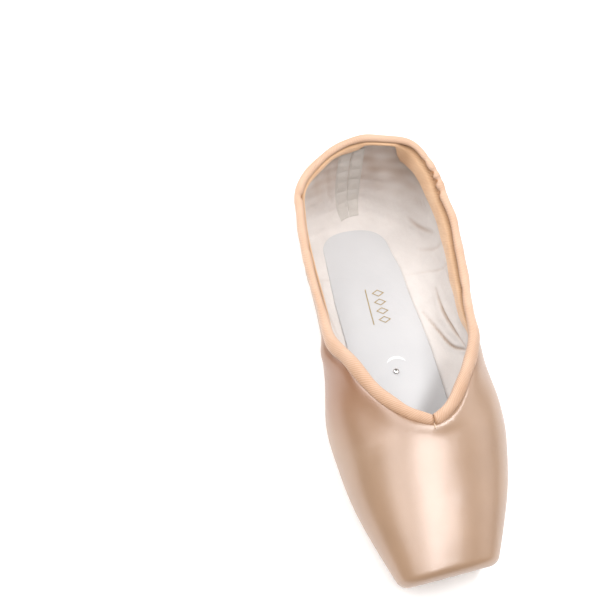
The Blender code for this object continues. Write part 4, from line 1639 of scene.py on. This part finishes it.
def make_crescent(material):
    """A small raised crescent on the insole, behind the tack."""
    angles = np.linspace(-CRESCENT_SWEEP, CRESCENT_SWEEP, 25)
    spread = np.linspace(-1, 1, 9)
    grid = []
    for angle in angles:
        taper = math.cos(angle / CRESCENT_SWEEP * math.pi / 2) ** 0.7
        row = []
        for share in spread:
            radius = CRESCENT_RADIUS + CRESCENT_HALF * taper * share
            out = CRESCENT_AT[0] + radius * math.sin(angle + CRESCENT_TURN)
            run = CRESCENT_AT[1] + radius * math.cos(angle + CRESCENT_TURN)
            lift = CRESCENT_HEIGHT * taper * (1 - share**2) - 0.0001 * share**2
            row.append(place(run, out, insole_top(run, out) + lift))
        grid.append(row)
    points = np.array(grid)
    cloth = np.stack(np.meshgrid(angles * CRESCENT_RADIUS, spread * CRESCENT_HALF, indexing="ij"), -1)
    upward = np.broadcast_to(np.array([0.0, 0.0, 1.0]), points.shape)
    piece = grid_piece("raised_crescent", [(points, cloth, upward)], material)
    return fit(thicken(piece, 0.0002))


def make_tack(material):
    """The domed head of the tack, with a fine rolled rim."""
    head = bmesh.new()
    turned = ((0.0, 0.62), (0.35, 0.60), (0.65, 0.48), (0.88, 0.26), (0.98, 0.12), (1.0, 0.0))
    edge = []
    for out, up in turned:
        edge.append(head.verts.new((out * TACK_RADIUS, 0.0, up * TACK_RADIUS * 0.6)))
    for first, second in zip(edge, edge[1:]):
        head.edges.new((first, second))
    bmesh.ops.spin(
        head, geom=head.verts[:] + head.edges[:], cent=(0, 0, 0), axis=(0, 0, 1), dvec=(0, 0, 0),
        angle=2 * math.pi, steps=28, use_merge=True
    )
    bmesh.ops.remove_doubles(head, verts=head.verts, dist=MERGE)
    bmesh.ops.holes_fill(head, edges=[e for e in head.edges if e.is_boundary])
    bmesh.ops.recalc_face_normals(head, faces=head.faces)
    bmesh.ops.translate(head, verts=head.verts, vec=(0.0, TACK_AT + RUN_START, TACK_LOW.z))
    return fit(mesh_piece("tack_head", head, material), "insole_tack")


# Drawstring

# Route through the slit: across from the middle of the wall as a share of its face's
# distance plus an offset, and up from the wall's edge
STRING_ROUTE = (
    (-1, 0.50 * BINDING_ROLL, -0.86 * INNER_DROP),
    (-1, 0.50 * BINDING_ROLL, -0.50 * INNER_DROP),
    (-1, 0.40 * BINDING_ROLL, -0.12 * INNER_DROP),
    (-1, -0.10 * BINDING_ROLL, 0.20 * BINDING_ROLL),
    (0, 0.00 * BINDING_ROLL, 0.30 * BINDING_ROLL),
    (1, 0.00 * BINDING_ROLL, 0.16 * BINDING_ROLL),
    (1, 0.24 * BINDING_ROLL, -0.20 * OUTER_DROP),
    (1, 0.30 * BINDING_ROLL, -0.50 * OUTER_DROP),
    (1, 0.36 * BINDING_ROLL, -0.75 * OUTER_DROP),
    (1, 0.48 * BINDING_ROLL, -0.92 * OUTER_DROP - STRING_TAIL),
)


def string_points():
    """The drawstring's line through the slit, at the throat's middle."""
    run = VAMP_LENGTH
    point, back, _, normal = skin_frame(run, 0.0)
    climb = back / np.linalg.norm(back)
    ahead = skin(run + STEP, from_crown(run + STEP)) - point
    stretch_up = np.linalg.norm(ahead) / abs(ahead[0])
    line = []
    for side, off, up in STRING_ROUTE:
        at, way = point, normal
        over = climb * up * stretch_up
        if up < 0:
            at, _, _, way = skin_frame(run + up * stretch_up / np.linalg.norm(back), 0.0)
            over = 0.0
        out = {1: CLEARANCE + off, 0: -wall(run) / 2, -1: -wall(run) - CLEARANCE - off}[side]
        line.append(at + over + way * out)
    return settle(np.array(line), run)


def make_string(material):
    """A thin twisted cord, as a mesh tube on a smooth line through the slit."""
    knots = string_points()
    curve = natural_curve(range(len(knots)), knots)
    line = np.array([curve(share) for share in np.linspace(0, len(knots) - 1, 120)])
    ahead = np.gradient(line, axis=0)
    ahead /= np.linalg.norm(ahead, axis=1, keepdims=True)
    across = np.cross(ahead, (1.0, 0.0, 0.0))
    across /= np.linalg.norm(across, axis=1, keepdims=True)
    other = np.cross(ahead, across)
    length = lengths_along(line)
    angle = np.linspace(0, 2 * math.pi, 13)
    twist = length[:, None] / 0.0011
    lobe = 1 + 0.16 * np.cos(2 * (angle[None] + twist))
    end = np.minimum(length, length[-1] - length)
    tip = np.sqrt(np.clip(end / STRING_LOOK, 0.05, 1.0))
    radius = (STRING_LOOK * lobe * tip[:, None])[..., None]
    ring = across[:, None] * np.cos(angle)[None, :, None] + other[:, None] * np.sin(angle)[None, :, None]
    points = line[:, None] + radius * ring
    cloth = np.stack(np.broadcast_arrays(length[:, None], angle * 0.001), -1)
    piece = grid_piece("drawstring_cord", [(points, cloth, None)], material, close=True)
    return fit(piece, "drawstring")


# Studio


SURROUND_LIGHT = 0.22
BACKDROP_LIGHT = 0.92
FLOOR_GLOW = 0.26

# Soft boxes: name, place, turn about X, Y and Z in degrees, width and length, and watts
LAMPS = (
    ("overhead strip", (0.295, -0.12, 1.00), (0, 8, -38), (0.13, 1.10), 8.9),
    ("shoulder box", (-0.36, -0.05, 0.92), (0, -22, 0), (0.40, 0.90), 3.7),
    ("back left box", (-0.90, 0.60, 0.90), (-30, -42, 0), (0.90, 0.90), 9.0),
    ("right box", (1.20, 0.10, 0.70), (0, 60, 0), (0.70, 1.20), 3.7),
)


def soft_light(name, at, turn, size, power):
    """A soft rectangular light, which shines straight down before it is turned."""
    data = bpy.data.lights.new(name, "AREA")
    data.shape = "RECTANGLE"
    data.size, data.size_y = size
    data.energy = power
    lamp = bpy.data.objects.new(name, data)
    lamp.location = at
    lamp.rotation_euler = [math.radians(angle) for angle in turn]
    bpy.context.scene.collection.objects.link(lamp)
    return lamp


def make_studio():
    """Pale floor, soft lights and the camera at the photograph's angle."""
    ground = bmesh.new()
    bmesh.ops.create_grid(ground, x_segments=2, y_segments=2, size=6.0)
    material, tree, shader, _ = material_base("Pale floor")
    fill(
        tree, shader, Base_Color=(0.93, 0.93, 0.93, 1.0), Roughness=0.9,
        Emission_Color=(1.0, 1.0, 1.0, 1.0), Emission_Strength=FLOOR_GLOW,
    )
    mesh_piece("floor", ground, material, smooth=False)

    world = bpy.data.worlds.new("Studio")
    world.use_nodes = True
    tree = world.node_tree
    surround = tree.nodes["Background"]
    surround.inputs["Color"].default_value = (1.0, 1.0, 1.0, 1.0)
    surround.inputs["Strength"].default_value = SURROUND_LIGHT
    backdrop = add_node(tree, "Background", None, Color=(1.0, 1.0, 1.0, 1.0), Strength=BACKDROP_LIGHT)
    seen = tree.nodes.new("ShaderNodeLightPath").outputs["Is Camera Ray"]
    mixed = add_node(tree, "MixShader", None, _0=seen, _1=surround.outputs[0], _2=backdrop.outputs[0])
    tree.links.new(mixed.outputs[0], tree.nodes["World Output"].inputs["Surface"])
    bpy.context.scene.world = world
    bpy.context.scene.view_settings.view_transform = "Standard"
    for name, at, turn, size, power in LAMPS:
        soft_light(name, at, turn, size, power)

    data = bpy.data.cameras.new("camera")
    data.lens = CAMERA_LENS
    data.sensor_width = 36.0
    data.clip_start = 0.01
    camera = bpy.data.objects.new("camera", data)
    turn = Matrix.Rotation(CAMERA_TURN, 4, "Z") @ Matrix.Rotation(CAMERA_TILT, 4, "X")
    camera.matrix_world = Matrix.Translation(CAMERA_AT) @ turn @ Matrix.Rotation(CAMERA_ROLL, 4, "Z")
    bpy.context.scene.collection.objects.link(camera)
    bpy.context.scene.camera = camera


def main():
    make_studio()
    satin = satin_material()
    twill = twill_material("Peach bias twill", (0.64, 0.39, 0.25), (0.775, 0.535, 0.390))
    facing = twill_material("Pale facing twill", (0.88, 0.53, 0.30), (0.95, 0.64, 0.40))
    cotton = lining_material("White cotton lining", (0.71, 0.66, 0.63), (0.82, 0.775, 0.745), 0.0007)
    tape = lining_material("Off-white tape", (0.59, 0.55, 0.51), (0.70, 0.66, 0.62), 0.0009)
    board = board_material("White insole board", (0.575, 0.575, 0.585), (0.605, 0.605, 0.615), 0.40)
    suede = suede_material()
    cord = thread_material("Cotton cord", (0.72, 0.52, 0.37))
    # The crescent's white is brighter than the insole board's: a painted highlight, besides the real gloss
    # of its low roughness.
    gloss_and_highlight = board_material("White gloss", (0.84, 0.84, 0.85), (0.90, 0.90, 0.91), 0.20)
    thread = thread_material("Peach thread", (0.52, 0.31, 0.18))
    gold = metal_material("Gold foil", (0.62, 0.47, 0.24), 0.35, 0.45)
    nickel = metal_material("Nickel", (0.78, 0.78, 0.77), 0.18, 1.0)
    make_satin(satin)
    make_lining(cotton)
    make_casing(twill)
    make_facing(facing)
    make_tape(tape)
    make_insole(board)
    make_crescent(gloss_and_highlight)
    make_outsole(suede)
    make_foil(gold)
    make_tack(nickel)
    make_string(cord)
    collar_stitches("groove_stitches", -1, 0.7 * BINDING_CLOTH, -0.24 * OUTER_DROP, thread)


main()
